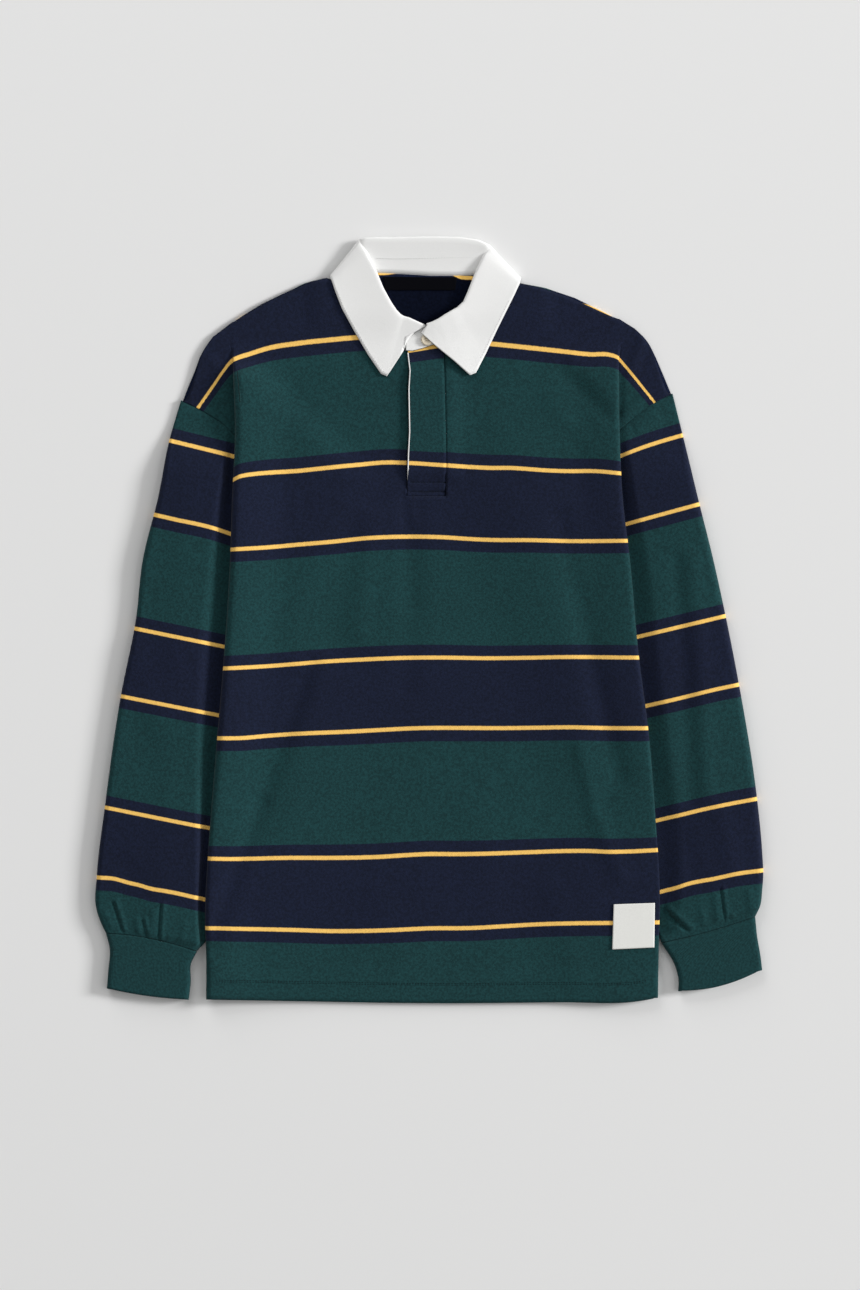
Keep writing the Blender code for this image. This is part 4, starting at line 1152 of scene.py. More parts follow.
# %% Collar table
COLLAR = table(
    "neck_x neck_y fold_x fold_y leaf_x leaf_y turn neck_lift leaf_lift",
    (-14, 276, -5, 293, -24, 283, 90, 0, 1.4),
    (-22, 272, -21, 300.5, -27, 268, 90, 0, .6),
    (-30, 272, -26.5, 302, -43, 243.5, 90, 0, 0),
    (-38, 275, -30, 304, -49, 246, 90, 0, 0),
    (-51, 286, -34.5, 308.5, -62, 265, 90, 0, 0),
    (-63, 302, -40, 316.5, -76, 289, 90, 0, 0),
    (-73, 321, -48, 331, -88, 311, 90, 0, 0),
    (-78.5, 335, -55, 348, -95, 329, 90, 0, 0),
    (-80, 341, -64, 367, -97.5, 338.5, 60, 0, 0),
    (-80, 344.5, -69.8, 377.6, -98.5, 343.5, 20, 0, 0),
    (-77, 347, -69.8, 379, -97.5, 344.5, -25, 0, 0),
    (-73, 348, -65.5, 380, -92, 343, -65, 0, 0),
    (-66, 348, -56, 380.6, -80, 337, -90, 0, 0),
    (-45, 347.6, -38, 380.4, -48, 332, -90, 0, 0),
    (-22, 346.5, -16, 381.2, -20, 329, -90, 0, 0),
    (2, 345, 8, 381.4, 6, 328, -90, 0, 0),
    (26, 345, 32, 380.6, 34, 330, -90, 0, 0),
    (48, 346, 48, 378, 62, 335, -90, 0, 0),
    (62, 347, 56, 374.6, 80, 340.5, -65, 0, 0),
    (69, 346.5, 59.6, 373, 88, 342.5, -25, 0, 0),
    (71.5, 343.5, 59.4, 370.6, 89.5, 341.5, 20, 0, 0),
    (71.5, 339.5, 54, 363.5, 89, 336, 60, 0, 0),
    (70, 332, 46, 345, 84.5, 325, 90, 0, 0),
    (63, 317, 39, 327, 76, 308, 90, 0, 0),
    (54, 299, 34.5, 317, 68, 292, 90, 0, 0),
    (43, 283, 28, 311, 56, 266.5, 90, 0, .3),
    (30, 273, 21, 307, 46, 247, 90, 0, 1.2),
    (22, 271, 15, 303.5, 40, 244.5, 90, .4, 1.8),
    (15, 272, 9, 299.5, 25, 258, 90, 1.6, 2.6),
    (12, 274, 3, 296.5, 6, 273.5, 90, 2.6, 3.1),
    (10, 276, -3, 294.5, -9, 287, 90, 2.9, 3.1))
print("collar sections in the table:", len(COLLAR["turn"]))

# %% Collar
COLLAR_FOLD = 1.1
COLLAR_ROLL = 2.0
ROLL_AT_END = 0.2
ROLL_SECTIONS = 5.0
COLLAR_RISE = 5.0
RISE_POWER = 1.4
STAND_POWER = 1.3
LEAF_POWER = 1.5
STAND_SHARES = np.linspace(0.0, 1.0, 9)
FOLD_STEPS = 8
LEAF_SHARES = np.linspace(0.0, 1.0, 19)[1:]
SECTION_STEPS = 5


def finer(rows, steps):
    """The same table with more rows, straight between its own."""
    coarse = np.arange(len(rows["turn"])) * 1.0
    fine = np.linspace(0.0, coarse[-1], (len(coarse) - 1) * steps + 1)
    return {key: np.interp(fine, coarse, values) for key, values in rows.items()}


def collar_grid():
    """Sections of the collar: up the stand, over the fold, down the leaf.

    The stand lies COLLAR_FOLD to one side of the crease and the leaf as far to the other. The
    roll lifts the leaf near the fold at the front, and the rise lifts the fold at the back.
    """
    rows = finer(COLLAR, SECTION_STEPS)
    neck = np.stack([rows["neck_x"], rows["neck_y"]], axis=-1)
    fold = np.stack([rows["fold_x"], rows["fold_y"]], axis=-1)
    leaf = np.stack([rows["leaf_x"], rows["leaf_y"]], axis=-1)
    turn = np.radians(rows["turn"])
    sign = np.where(rows["fold_x"] < 0.0, -1.0, 1.0)
    aside = np.stack([sign * np.cos(turn), 0.0 * turn, np.sin(turn)], axis=-1) * COLLAR_FOLD

    section = np.arange(len(turn))
    from_end = np.minimum(section, section[-1] - section) / SECTION_STEPS
    growing = ROLL_AT_END + (1.0 - ROLL_AT_END) * past(from_end, 0.0, ROLL_SECTIONS)
    roll = (COLLAR_ROLL * np.clip(np.sin(turn), 0.0, 1.0) * growing)[:, None, None]
    rise = COLLAR_RISE * ((1.0 - np.sin(turn))[:, None, None] / 2) ** RISE_POWER
    side_way = aside[:, None] / COLLAR_FOLD

    def middle(place, lift):
        """Points at the collar's own height: on the front, or on the table behind the neck."""
        low = TWILL / 2 + COLLAR_FOLD
        high = front_height(place[..., 0], place[..., 1]) + COLLAR_FOLD
        z = low + (high - low) * (1.0 + np.sin(turn))[:, None] / 2 + lift
        return np.concatenate([place, z[..., None]], axis=-1)

    def between(start, end, share, start_lift, end_lift):
        """Points at shares of the way from one line of the collar to another."""
        place = start[:, None] + (end - start)[:, None] * share[None, :, None]
        lift = start_lift[:, None] + (end_lift - start_lift)[:, None] * share[None, :]
        return middle(place, lift)

    neck_lift = rows["neck_lift"]
    leaf_lift = rows["leaf_lift"]
    stand = between(neck, fold, STAND_SHARES, neck_lift, leaf_lift) - aside[:, None]
    cover = between(fold, leaf, LEAF_SHARES, leaf_lift, leaf_lift) + aside[:, None]
    stand[..., 2:] += rise * STAND_SHARES[None, :, None] ** STAND_POWER
    cover[..., 2:] += (roll + rise) * (1.0 - LEAF_SHARES[None, :, None]) ** LEAF_POWER
    crest = between(fold, leaf, np.array([0.0]), leaf_lift, leaf_lift)
    crest[..., 2:] += rise
    away = fold - neck
    away = away / np.linalg.norm(away, axis=1, keepdims=True)
    away = np.concatenate([away, np.zeros((len(away), 1))], axis=-1)
    theta = (math.pi * np.arange(1, FOLD_STEPS) / FOLD_STEPS)[None, :, None]
    radius = COLLAR_FOLD + roll / 2
    over = crest + side_way * (roll / 2 - radius * np.cos(theta))
    over = over + COLLAR_FOLD * away[:, None] * np.sin(theta)
    top = crest + side_way * (roll / 2 + radius)
    return np.concatenate([stand, over, top, cover], axis=1)


# %% [markdown]
# ## Placket, trims and the button
#
# The placket is two strips sewn to the slit's edges: white twill below, which shows as a narrow
# edge, and a strip of the striped cloth above it, boxed at its foot. The band end, the label and
# the patch are small flat pieces too. Each could be a plane with a Shrinkwrap modifier. Here each
# is given as lines from the top down, each from the left to the right, and its height is asked
# from the cloth that it lies on, which keeps the small gap between them exact.

# %% Lines of the small flat pieces
STRIP_LINES = (
    ((-22.65, 267), (11, 267)),
    ((-20.5, 249), (11, 249)),
    ((-21.7, 230), (11, 230)),
    ((-21.3, 211), (11, 211)),
    ((-20.9, 188), (11, 188)),
    ((-22.1, 166), (11, 166)),
    ((-22.5, 147), (11, 147)),
    ((-22.55, 124.6), (11, 124.6)))
STRIP_TOP_LINES = (
    ((-22.2, 268.7), (-18, 268.5), (-8.5, 270.9), (3.6, 275), (9, 274), (13.8, 269.3)),
    ((-19.8, 249), (14.2, 249)),
    ((-20.4, 230), (14.7, 230)),
    ((-20.0, 211), (15.1, 211)),
    ((-19.7, 188), (15.6, 188)),
    ((-20.9, 166), (16.0, 166)),
    ((-21.7, 147), (16.1, 147)),
    ((-22.5, 139), (16.1, 139)),
    ((-22.6, 134), (16.1, 134)),
    ((-22.7, 129), (16.1, 129)),
    ((-22.8, 124.2), (16.1, 124.2)))
TAB_LINES = (
    ((-22.4, 282.8), (-5.4, 292.4), (0, 292.2)),
    ((-24.0, 275.5), (3, 283.5)),
    ((-24.2, 269.4), (-18, 269), (-8.5, 271.4), (3.6, 275.5), (6, 276.8)))
LABEL_LINES = (((-47, 343), (27, 342.5)), ((-45, 329.5), (25, 329.5)))
PATCH_LINES = (((183.4, -284), (224.5, -282.5)), ((182, -329), (224, -327)))
print("lines of the placket's strips:", len(STRIP_LINES), "and", len(STRIP_TOP_LINES))

# %% Height under the placket
PLACKET_RISE = 2.6
RISE_TOP = (262.0, 20.0)
RISE_FOOT = (136.0, 14.0)
SUNK_FOOT = (136.0, 9.0)
TOP_ROOM = REST + 0.1
BOX_ROWS = (137.5, 128.0)
BOX_GROOVE = 0.8


def placket_height(x, y):
    """Height of the front under the placket's upper strip.

    It stands PLACKET_RISE proud, and at its boxed foot it sinks flush with the front.
    """
    rise = PLACKET_RISE * before(y, *RISE_TOP) * past(y, *RISE_FOOT)
    sunk = (TOP_ROOM + CLOTH / 2) * before(y, *SUNK_FOOT)
    return half_front_height(np.abs(x), y, LEFT) + rise - sunk


# %% A small flat piece
def line_points(line, columns):
    """Points at even steps along a short line: straight from each of its points to the next."""
    corners = np.array(line, dtype=float)
    steps = np.linalg.norm(np.diff(corners, axis=0), axis=1)
    length = np.concatenate([[0.0], np.cumsum(steps)])
    at = np.linspace(0.0, length[-1], columns)
    return np.stack([np.interp(at, length, corners[:, axis]) for axis in (0, 1)], axis=-1)


def patch_on(height, lines, steps, columns, thick, room):
    """A small flat piece between lines, whose underside follows a height, with room below it.

    steps is the number of rows from each line to the next.
    """
    given = np.stack([line_points(line, columns) for line in lines])
    index = np.arange(len(lines)) * 1.0
    place = np.linspace(0.0, index[-1], (len(lines) - 1) * steps + 1)
    low = np.clip(place.astype(int), 0, len(lines) - 2)
    part = (place - low)[:, None, None]
    plan = given[low] * (1.0 - part) + given[low + 1] * part
    z = height(plan[..., 0], plan[..., 1]) + room + thick / 2
    return np.concatenate([plan, z[..., None]], axis=-1)


# %% [markdown]
# ## The button
#
# The button is a turned disc with a raised rim, a shallow well and four holes. The holes could be
# cut with a Boolean modifier, but they are only 1.5 mm wide and nothing is seen through them, so
# they are sunk into the well's fine rings. The rings come from one profile that is turned round
# the axis.

# %% Button
BUTTON_RADIUS = 6.0
BUTTON_THICK = 1.8
HOLE_REACH = 1.55
HOLE_RADIUS = 0.75
HOLE_SOFT = 0.3
HOLE_DEPTH = 0.8
WELL_RADIUS = 3.5
WELL_ROWS = 6
BUTTON_STEPS = 64
BUTTON_AT = (-3.0, 280.0)
BUTTON_PROFILE = table(
    "radius z",
    (0.0, 0.62), (0.1, 0.62), (0.2, 0.62), (0.3, 0.62), (0.4, 0.63), (0.5, 0.65), (0.6, 0.7),
    (0.72, 0.95), (0.8, 1.0), (0.9, 0.98), (0.97, 0.84), (1.0, 0.6), (0.97, 0.25), (0.86, 0.0),
    (0.0, 0.0))


def button_rings():
    """Rings of the turned disc, about the middle of its foot: radius times cosine and sine.

    A hole sinks the points that are nearer than HOLE_RADIUS to its axis, by HOLE_DEPTH.
    """
    fine = np.linspace(0.0, WELL_ROWS, 5 * WELL_ROWS + 1)
    place = np.concatenate([fine, np.arange(WELL_ROWS + 1, len(BUTTON_PROFILE["z"]) * 1.0)])
    index = np.arange(len(BUTTON_PROFILE["z"])) * 1.0
    radius = np.interp(place, index, BUTTON_PROFILE["radius"])[1:-1] * BUTTON_RADIUS
    height = np.interp(place, index, BUTTON_PROFILE["z"])[1:-1] * BUTTON_THICK
    angle = np.arange(BUTTON_STEPS) * 2 * math.pi / BUTTON_STEPS
    x = radius[:, None] * np.cos(angle)
    y = radius[:, None] * np.sin(angle)
    z = height[:, None] * np.ones(BUTTON_STEPS)
    for hole in range(4):
        turn = (hole + 0.5) * math.pi / 2
        away = np.hypot(x - HOLE_REACH * math.cos(turn), y - HOLE_REACH * math.sin(turn))
        inside = before(away, HOLE_RADIUS + HOLE_SOFT / 2, HOLE_SOFT)
        z = z - HOLE_DEPTH * inside * (radius < WELL_RADIUS)[:, None]
    return np.stack([x, y, z], axis=-1)


# %% The button's mesh
def button_mesh(name, centre, surface):
    """The button's rings as quads, closed by a fan at the well's middle and one at the foot."""
    turned = button_rings()
    count = len(turned)
    rings = (turned + np.array(centre)).reshape(-1, 3)
    top = [centre[0], centre[1], centre[2] + BUTTON_PROFILE["z"][0] * BUTTON_THICK]
    foot = [centre[0], centre[1], centre[2]]
    points = np.concatenate([rings, [top, foot]])
    quads = grid_faces(count, BUTTON_STEPS, True, None)
    spoke = np.arange(BUTTON_STEPS)
    after = (spoke + 1) % BUTTON_STEPS
    last = (count - 1) * BUTTON_STEPS
    cap = np.stack([np.full(BUTTON_STEPS, len(rings)), spoke, after], axis=-1)
    base = np.stack([np.full(BUTTON_STEPS, len(rings) + 1), last + after, last + spoke], axis=-1)
    mesh = bpy.data.meshes.new(name)
    faces = quads.tolist() + cap.tolist() + base.tolist()
    mesh.from_pydata((points * MILLIMETRE).tolist(), [], faces)
    mesh.materials.append(surface)
    mesh.shade_smooth()
    made = bpy.data.objects.new(name, mesh)
    bpy.context.scene.collection.objects.link(made)
    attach(made, "root")
    print(name, "-", len(faces), "faces,", 2 * BUTTON_RADIUS, "mm wide")
    return made


# %% [markdown]
# ## Sewing
#
# What shows of a seam is a row of short threads that dip into the cloth between them. A dashed
# line in the shader would be lighter to draw, but it throws no shadow. So each stitch is a short
# spindle of thread, with six sides, three rings and two tips that end in the cloth, and a seam is
# one mesh of them along a line of points.

# %% Even steps along a path
LOOK_AROUND = 0.4


def resample(path, step):
    """Points at even steps along a path, and its direction there, from just before and after."""
    path = np.asarray(path, dtype=float)
    length = np.concatenate([[0.0], np.cumsum(np.linalg.norm(np.diff(path, axis=0), axis=1))])
    at = np.arange(step / 2, length[-1], step)
    points = np.stack([np.interp(at, length, path[:, axis]) for axis in range(3)], axis=-1)
    later = at + LOOK_AROUND
    earlier = at - LOOK_AROUND
    ahead = np.stack([np.interp(later, length, path[:, axis]) for axis in range(3)], axis=-1)
    behind = np.stack([np.interp(earlier, length, path[:, axis]) for axis in range(3)], axis=-1)
    along = ahead - behind
    return points, along / np.linalg.norm(along, axis=1, keepdims=True)


# %% Rows of stitches
PITCH = 2.8
STITCH_LENGTH = 2.0
THREAD = 0.25
STITCH_SIDES = 6
STITCH_RINGS = table("along radius", (-0.36, 0.8), (0.0, 1.0), (0.36, 0.8))


def spindle_faces():
    """Triangles of one stitch: a fan at each tip and two rings of quads, cut in halves."""
    sides = STITCH_SIDES
    first_tip = 3 * sides
    faces = []
    for side in range(sides):
        after = (side + 1) % sides
        faces.append((first_tip, after, side))
        faces.append((first_tip + 1, 2 * sides + side, 2 * sides + after))
        for low in (0, sides):
            faces.append((low + side, low + after, low + sides + after))
            faces.append((low + side, low + sides + after, low + sides + side))
    return np.array(faces)


def stitching(name, paths, surface):
    """Rows of stitches along paths, as one piece: each is the spindle at its own place."""
    rows = [resample(path, PITCH) for path in paths]
    points, along = (np.concatenate(part) for part in zip(*rows))
    across = np.cross(np.array([0.0, 0.0, 1.0]), along)
    across = across / np.linalg.norm(across, axis=1, keepdims=True)
    normal = np.cross(along, across)
    angle = np.arange(STITCH_SIDES) * 2 * math.pi / STITCH_SIDES
    body = []
    for shift, width in zip(STITCH_RINGS["along"], STITCH_RINGS["radius"]):
        for turn in angle:
            offset = across * math.cos(turn) + normal * math.sin(turn)
            body.append(points + along * shift * STITCH_LENGTH + offset * THREAD * width)
    body.append(points - along * STITCH_LENGTH / 2 - normal * THREAD)
    body.append(points + along * STITCH_LENGTH / 2 - normal * THREAD)
    vertices = np.stack(body, axis=1).reshape(-1, 3)
    first = (np.arange(len(points)) * len(body))[:, None, None]
    faces = (spindle_faces()[None] + first).reshape(-1, 3)
    made = new_object(name, vertices, faces, surface)[0]
    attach(made, "root")
    print(name, "-", len(points), "stitches")
    return made


def on_cloth(height, xs, ys, above):
    """A path of points that lie above a height by a given amount."""
    xs = np.asarray(xs, dtype=float)
    ys = np.asarray(ys, dtype=float)
    return np.stack([xs, ys, height(xs, ys) + above], axis=-1)


# %% [markdown]
# ## Materials
#
# A cloth's colour and bump come from sums of a few lengths, and each sum needs many Math nodes.
# They could be placed and linked one by one. It reads better when Python's own signs do it: Value
# wraps a socket and turns each sign into a node, also where the number comes first. Only what
# varies over the cloth is a node, and what is the same everywhere is set on the shader itself.


# %% Sums of sockets
class Value:
    """A number in a material's node tree that Python's own signs work on."""

    def __init__(self, maker, socket):
        self.maker = maker
        self.socket = socket

    def sum(self, operation, *others, first=None):
        """One Math node of this value and the others, with first before them if it is given."""
        terms = [self] + list(others) if first is None else [first, self] + list(others)
        inputs = {index: term for index, term in enumerate(terms)}
        made = self.maker.node("ShaderNodeMath", {"operation": operation}, inputs)
        return Value(self.maker, made.outputs[0])

    def __add__(self, other):
        return self.sum("ADD", other)

    __radd__ = __add__

    def __mul__(self, other):
        return self.sum("MULTIPLY", other)

    __rmul__ = __mul__

    def __sub__(self, other):
        return self.sum("SUBTRACT", other)

    def __rsub__(self, other):
        return self.sum("SUBTRACT", first=other)

    def __truediv__(self, other):
        return self.sum("DIVIDE", other)

    def __abs__(self):
        return self.sum("ABSOLUTE")


# %% One material
BAND_SOFT = 0.5


class Shader:
    """One material and the nodes that it is made of."""

    def __init__(self, name, roughness, sheen=0.0, specular=0.3):
        self.material = bpy.data.materials.new(name)
        self.material.use_nodes = True
        self.tree = self.material.node_tree
        self.principled = self.tree.nodes["Principled BSDF"]
        self.principled.inputs["Roughness"].default_value = roughness
        self.principled.inputs["Specular IOR Level"].default_value = specular
        if sheen:
            self.principled.inputs["Sheen Weight"].default_value = sheen
            self.principled.inputs["Sheen Roughness"].default_value = 0.5

    def node(self, kind, settings, inputs):
        """A node, its settings and its inputs, which are numbers, colours or other values."""
        made = self.tree.nodes.new(kind)
        for name, value in settings.items():
            setattr(made, name, value)
        for key, value in inputs.items():
            if isinstance(value, Value):
                self.tree.links.new(value.socket, made.inputs[key])
            else:
                made.inputs[key].default_value = value
        return made

    def read(self, name):
        """A point attribute of the mesh."""
        made = self.node("ShaderNodeAttribute", {"attribute_name": name}, {})
        return Value(self, made.outputs["Fac"])

    def place(self):
        """The place on the object, in metres."""
        made = self.node("ShaderNodeTexCoord", {}, {})
        return Value(self, made.outputs["Object"])

    def place_parts(self):
        """X and Y of the place on the object, in metres."""
        parts = self.node("ShaderNodeSeparateXYZ", {}, {0: self.place()})
        return Value(self, parts.outputs[0]), Value(self, parts.outputs[1])

    def cloth_map(self):
        """The two lengths along the cloth, in metres."""
        uv = self.node("ShaderNodeUVMap", {"uv_map": "cloth"}, {})
        parts = self.node("ShaderNodeSeparateXYZ", {}, {0: Value(self, uv.outputs["UV"])})
        return Value(self, parts.outputs[0]), Value(self, parts.outputs[1])

    def noise(self, scale, detail=2.0, roughness=0.5):
        """Noise about 0.5, by the place on the object. scale is its patches in a metre."""
        inputs = {"Vector": self.place(), "Scale": scale, "Detail": detail}
        inputs["Roughness"] = roughness
        made = self.node("ShaderNodeTexNoise", {}, inputs)
        return Value(self, made.outputs["Fac"])

    def ramp(self, value, low, high):
        """0 below low and 1 above high, with level ends."""
        settings = {"interpolation_type": "SMOOTHSTEP"}
        inputs = {"Value": value, "From Min": low, "From Max": high}
        made = self.node("ShaderNodeMapRange", settings, inputs)
        return Value(self, made.outputs["Result"])

    def mix(self, factor, first, second):
        """A colour between two others."""
        made = self.node("ShaderNodeMix", {"data_type": "RGBA"}, {0: factor, 6: first, 7: second})
        return Value(self, made.outputs[2])

    def band(self, distance, edge, first, second):
        """One colour up to an edge and another beyond it, a little soft between."""
        return self.mix(self.ramp(distance, edge - BAND_SOFT, edge + BAND_SOFT), first, second)

    def scaled(self, colour, amount):
        """A colour times a number."""
        made = self.node("ShaderNodeVectorMath", {"operation": "SCALE"}, {0: colour, 3: amount})
        return Value(self, made.outputs[0])

    def wire(self, value, socket):
        """Link a value to one of the shader's sockets."""
        self.tree.links.new(value.socket, self.principled.inputs[socket])

    def bump(self, height, distance, strength=1.0):
        """Bump from a height."""
        inputs = {"Height": height, "Distance": distance, "Strength": strength}
        made = self.node("ShaderNodeBump", {}, inputs)
        self.wire(Value(self, made.outputs["Normal"]), "Normal")


# %% [markdown]
# ## The striped jersey
#
# The cloth is brushed cotton jersey: matt and a little hairy, with speckled dye. An image of it
# would need far more pixels than there are stitches. Here the distance from the middle of a pair
# of yellow lines decides the band: navy, the yellow line, a navy border, then green. A little
# noise makes the bands' edges ragged, as knitting does. The knit is a bump, V-shaped loops that
# follow the two lengths along the cloth. The colours are linear, not those of a paint program.

# %% Colours and sizes of the knit
GREEN = (0.0082, 0.0440, 0.0475, 1.0)
NAVY = (0.0068, 0.0108, 0.0298, 1.0)
YELLOW = (0.98, 0.60, 0.15, 1.0)
WHITE = (0.90, 0.90, 0.89, 1.0)
# The label's colour: dark in itself, and darker still by painted shade for the shadow in the neck
DARK_LABEL_AND_PAINTED_SHADE = (0.0016, 0.0017, 0.0032, 1.0)
# Share of the back's colour that is left in the painted shade inside the neck
PAINTED_NECK_SHADE = 0.42
YELLOW_FROM = 34.5
YELLOW_TO = 38.5
BORDER_TO = 49.5
WALE = 0.0013
COURSE = 0.0011
RAGGED = 0.6
NECK_SHADE_FOOT = (0.262, 0.285)
NECK_SHADE_TOP = (0.3435, 0.3395)
NECK_SHADE_OUT = (0.100, 0.085)
CLOTH_BUMP = 0.00022
print("yellow line from", YELLOW_FROM, "to", YELLOW_TO, "mm from the middle of its pair")

# %% Jersey
FUZZ_SCALE = 900.0
SPECKLE_SCALE = 430.0
CLOUD_SCALE = 14.0
RAGGED_SCALE = 700.0


def fuzz_and_speckle(shader):
    """What all brushed cotton has: fine hairs for the bump, and speckled dye from 0 to 1."""
    fuzz = shader.noise(FUZZ_SCALE, 3.0, 0.6)
    return fuzz, shader.ramp(shader.noise(SPECKLE_SCALE, 3.0, 0.6), 0.32, 0.68)


def knit(u, v):
    """Height of the knit: each wale is a V across, and the courses follow its slopes."""
    wale = abs((u / WALE).sum("FRACT") - 0.5)
    loop = ((v / COURSE) + wale).sum("FRACT")
    return wale * 0.7 + abs(loop - 0.5)


def jersey_material(name, dull_with_painted_neck_shade=False):
    """Brushed cotton jersey, striped by the stripe place of its mesh.

    The stripe place gives the share of a repeat from the nearest pair, and REPEAT makes it
    millimetres. The terms of lightness add up to 1 where both noises are at their middle.
    The flag paints shade into the neck, where the inside of the back lies in shadow, and dulls it.
    """
    shine = 0.2 if dull_with_painted_neck_shade else 1.0
    shader = Shader(name, 0.92, sheen=0.06 * shine, specular=0.15 * shine)
    fuzz, speckle = fuzz_and_speckle(shader)
    cloud = shader.noise(CLOUD_SCALE, 2.0)
    u, v = shader.cloth_map()
    lightness = 0.64 + speckle * 0.52 + cloud * 0.2
    # Painted shade: inside the neck the colour is darkened where the back lies in the collar's
    # shadow
    if dull_with_painted_neck_shade:
        x, y = shader.place_parts()
        inside = shader.ramp(y, *NECK_SHADE_FOOT) * shader.ramp(y, *NECK_SHADE_TOP)
        inside = inside * shader.ramp(abs(x), *NECK_SHADE_OUT)
        lightness = lightness * (1.0 - inside * (1.0 - PAINTED_NECK_SHADE))
    ragged = (shader.noise(RAGGED_SCALE, 1.0) - 0.5) * RAGGED
    pair = shader.read("stripe")
    share = abs((pair + 0.5).sum("FRACT") - 0.5)
    distance = share * REPEAT + ragged
    ground = shader.scaled(shader.band(distance, BORDER_TO, NAVY, GREEN), lightness)
    line = shader.scaled(YELLOW[:3], 0.9 + speckle * 0.12 + cloud * 0.1)
    colour = shader.band(distance, YELLOW_FROM, ground, line)
    colour = shader.band(distance, YELLOW_TO, colour, ground)
    shader.wire(colour, "Base Color")
    shader.bump(knit(u, v) * 0.5 + fuzz * 1.2, CLOTH_BUMP, 0.8)
    return shader.material


# %% [markdown]
# ## Rib, twill and the plain ones
#
# The cuffs are rib, whose lines run along the arm. The collar, the patch and the label are woven,
# with fine lines aslant. Modelled ribs would be thousands of thin faces, so both are lines in the
# bump and, faintly, in the colour. Thread, button and floor need no pattern.

# %% Rib, twill and plain
RIB_PITCH = 0.0014
TWILL_BUMP = 0.00005


def rib_material(name):
    """Fine rib: rounded lines along the cuff, 1 at each line's sides and 0 in its middle."""
    shader = Shader(name, 0.92, sheen=0.06, specular=0.15)
    u = shader.cloth_map()[0]
    fuzz, speckle = fuzz_and_speckle(shader)
    line = abs((u / RIB_PITCH).sum("FRACT") - 0.5) * 2.0
    lightness = 0.72 + speckle * 0.44 + line * 0.06
    shader.wire(shader.scaled(GREEN[:3], lightness), "Base Color")
    shader.bump(shader.ramp(line, 0.1, 0.9) * 0.5 + fuzz, CLOTH_BUMP, 0.8)
    return shader.material


def twill_material(name, base, weave=0.0009, specular=0.25):
    """Twill: fine lines aslant, where the sum of both lengths along the cloth is the same."""
    shader = Shader(name, 0.85, specular=specular)
    u, v = shader.cloth_map()
    fuzz = shader.noise(800.0, 2.0, 0.6)
    line = abs(((u + v) / weave).sum("FRACT") - 0.5) * 2.0
    lightness = 0.93 + line * 0.04 + fuzz * 0.06
    shader.wire(shader.scaled(base[:3], lightness), "Base Color")
    shader.bump(line + fuzz, TWILL_BUMP, 0.5)
    return shader.material


def plain_material(name, base, roughness, specular=0.4):
    """One colour all over."""
    shader = Shader(name, roughness, specular=specular)
    shader.principled.inputs["Base Color"].default_value = base
    return shader.material


# %% All the materials
JERSEY = jersey_material("striped_jersey")
# The back's jersey, with painted shade in the neck
BACK_JERSEY_WITH_PAINTED_SHADE = jersey_material("back_jersey_painted_shade", dull_with_painted_neck_shade=True)
RIB_KNIT = rib_material("rib")
TWILL_WHITE = twill_material("white_twill", WHITE)
PATCH_WEAVE = twill_material("patch_weave", (0.85, 0.85, 0.815, 1.0), 0.0014)
# The label, dark in itself and darkened further by painted shade
LABEL_WEAVE = twill_material("label_weave", DARK_LABEL_AND_PAINTED_SHADE, 0.0012, specular=0.05)
BUTTON_RESIN = plain_material("button", (0.60, 0.53, 0.41, 1.0), 0.35, 0.5)
DARK_THREAD = plain_material("dark_thread", (0.004, 0.009, 0.012, 1.0), 0.7, 0.1)
WHITE_THREAD = plain_material("white_thread", (0.72, 0.72, 0.71, 1.0), 0.8, 0.1)
print("materials:", len(bpy.data.materials))

# %% [markdown]
# ## Build the pieces
#
# Now each piece is made, in the order in which it would be sewn, and takes its solid's place. The
# shells could be joined to one mesh, but a maker cuts them one by one, and a later user may want
# to colour or hide one. The body comes first. The front's and the back's stripes meet at the
# sides because both are read from the same lines.

# %% Body
front_points, front_kept = front_grid()
front = cloth(
    "front", front_points, CLOTH - SHELL_TRIM, JERSEY, keep=front_kept,
    stripes=body_stripes([NECK_LINE_FRONT], front_points), even=False)
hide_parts("front_panel")

back_points = back_grid()
back = cloth(
    "back", back_points, CLOTH - SHELL_TRIM, BACK_JERSEY_WITH_PAINTED_SHADE,
    stripes=body_stripes([NECK_LINE_BACK], back_points))
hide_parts("back_panel")

# %% Sleeves and cuffs
for name in SIDES:
    points = sleeve_grid(name)
    places = stripe_place(SLEEVE_LINES[name], SLEEVE_PLACES, points[..., 0], points[..., 1])
    cloth(
        name + "_sleeve", points, CLOTH - SHELL_TRIM, JERSEY, closed=True, stripes=places)
    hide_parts("sleeve_" + name)
    cloth(
        name + "_cuff", cuff_grid(name), RIB - SHELL_TRIM, RIB_KNIT, closed=True)
    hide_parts("cuff_" + name)

# %% Collar
collar_points = collar_grid()
collar = cloth("turned_collar", collar_points, TWILL, TWILL_WHITE, even=False)
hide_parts("collar")

# %% [markdown]
# ## The placket's two strips
#
# The lower strip lies under the front, and its free edge curls up beside the upper one as a white
# lip. The upper strip is sewn down along its right edge and at its boxed foot, so it dips there,
# and each row of stitches draws a small groove. A push on the points of the flat piece gives each
# of these, and each push fades out where the sewing ends.

# %% Lower strip
UNDER_ROOM = -0.9
STRIP_LIP = 1.9
LIP_OUT = (2.8, 1.9)
LIP_FOOT = (136.0, 16.0)
under_points = patch_on(placket_height, STRIP_LINES, 9, 40, STRIP, UNDER_ROOM)
lip = before(under_points[..., 0] - under_points[:, :1, 0], *LIP_OUT)
under_points[..., 2] += STRIP_LIP * lip * past(under_points[..., 1], *LIP_FOOT)
under_strip = cloth("under_placket", under_points, STRIP, TWILL_WHITE)
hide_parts("placket_under")

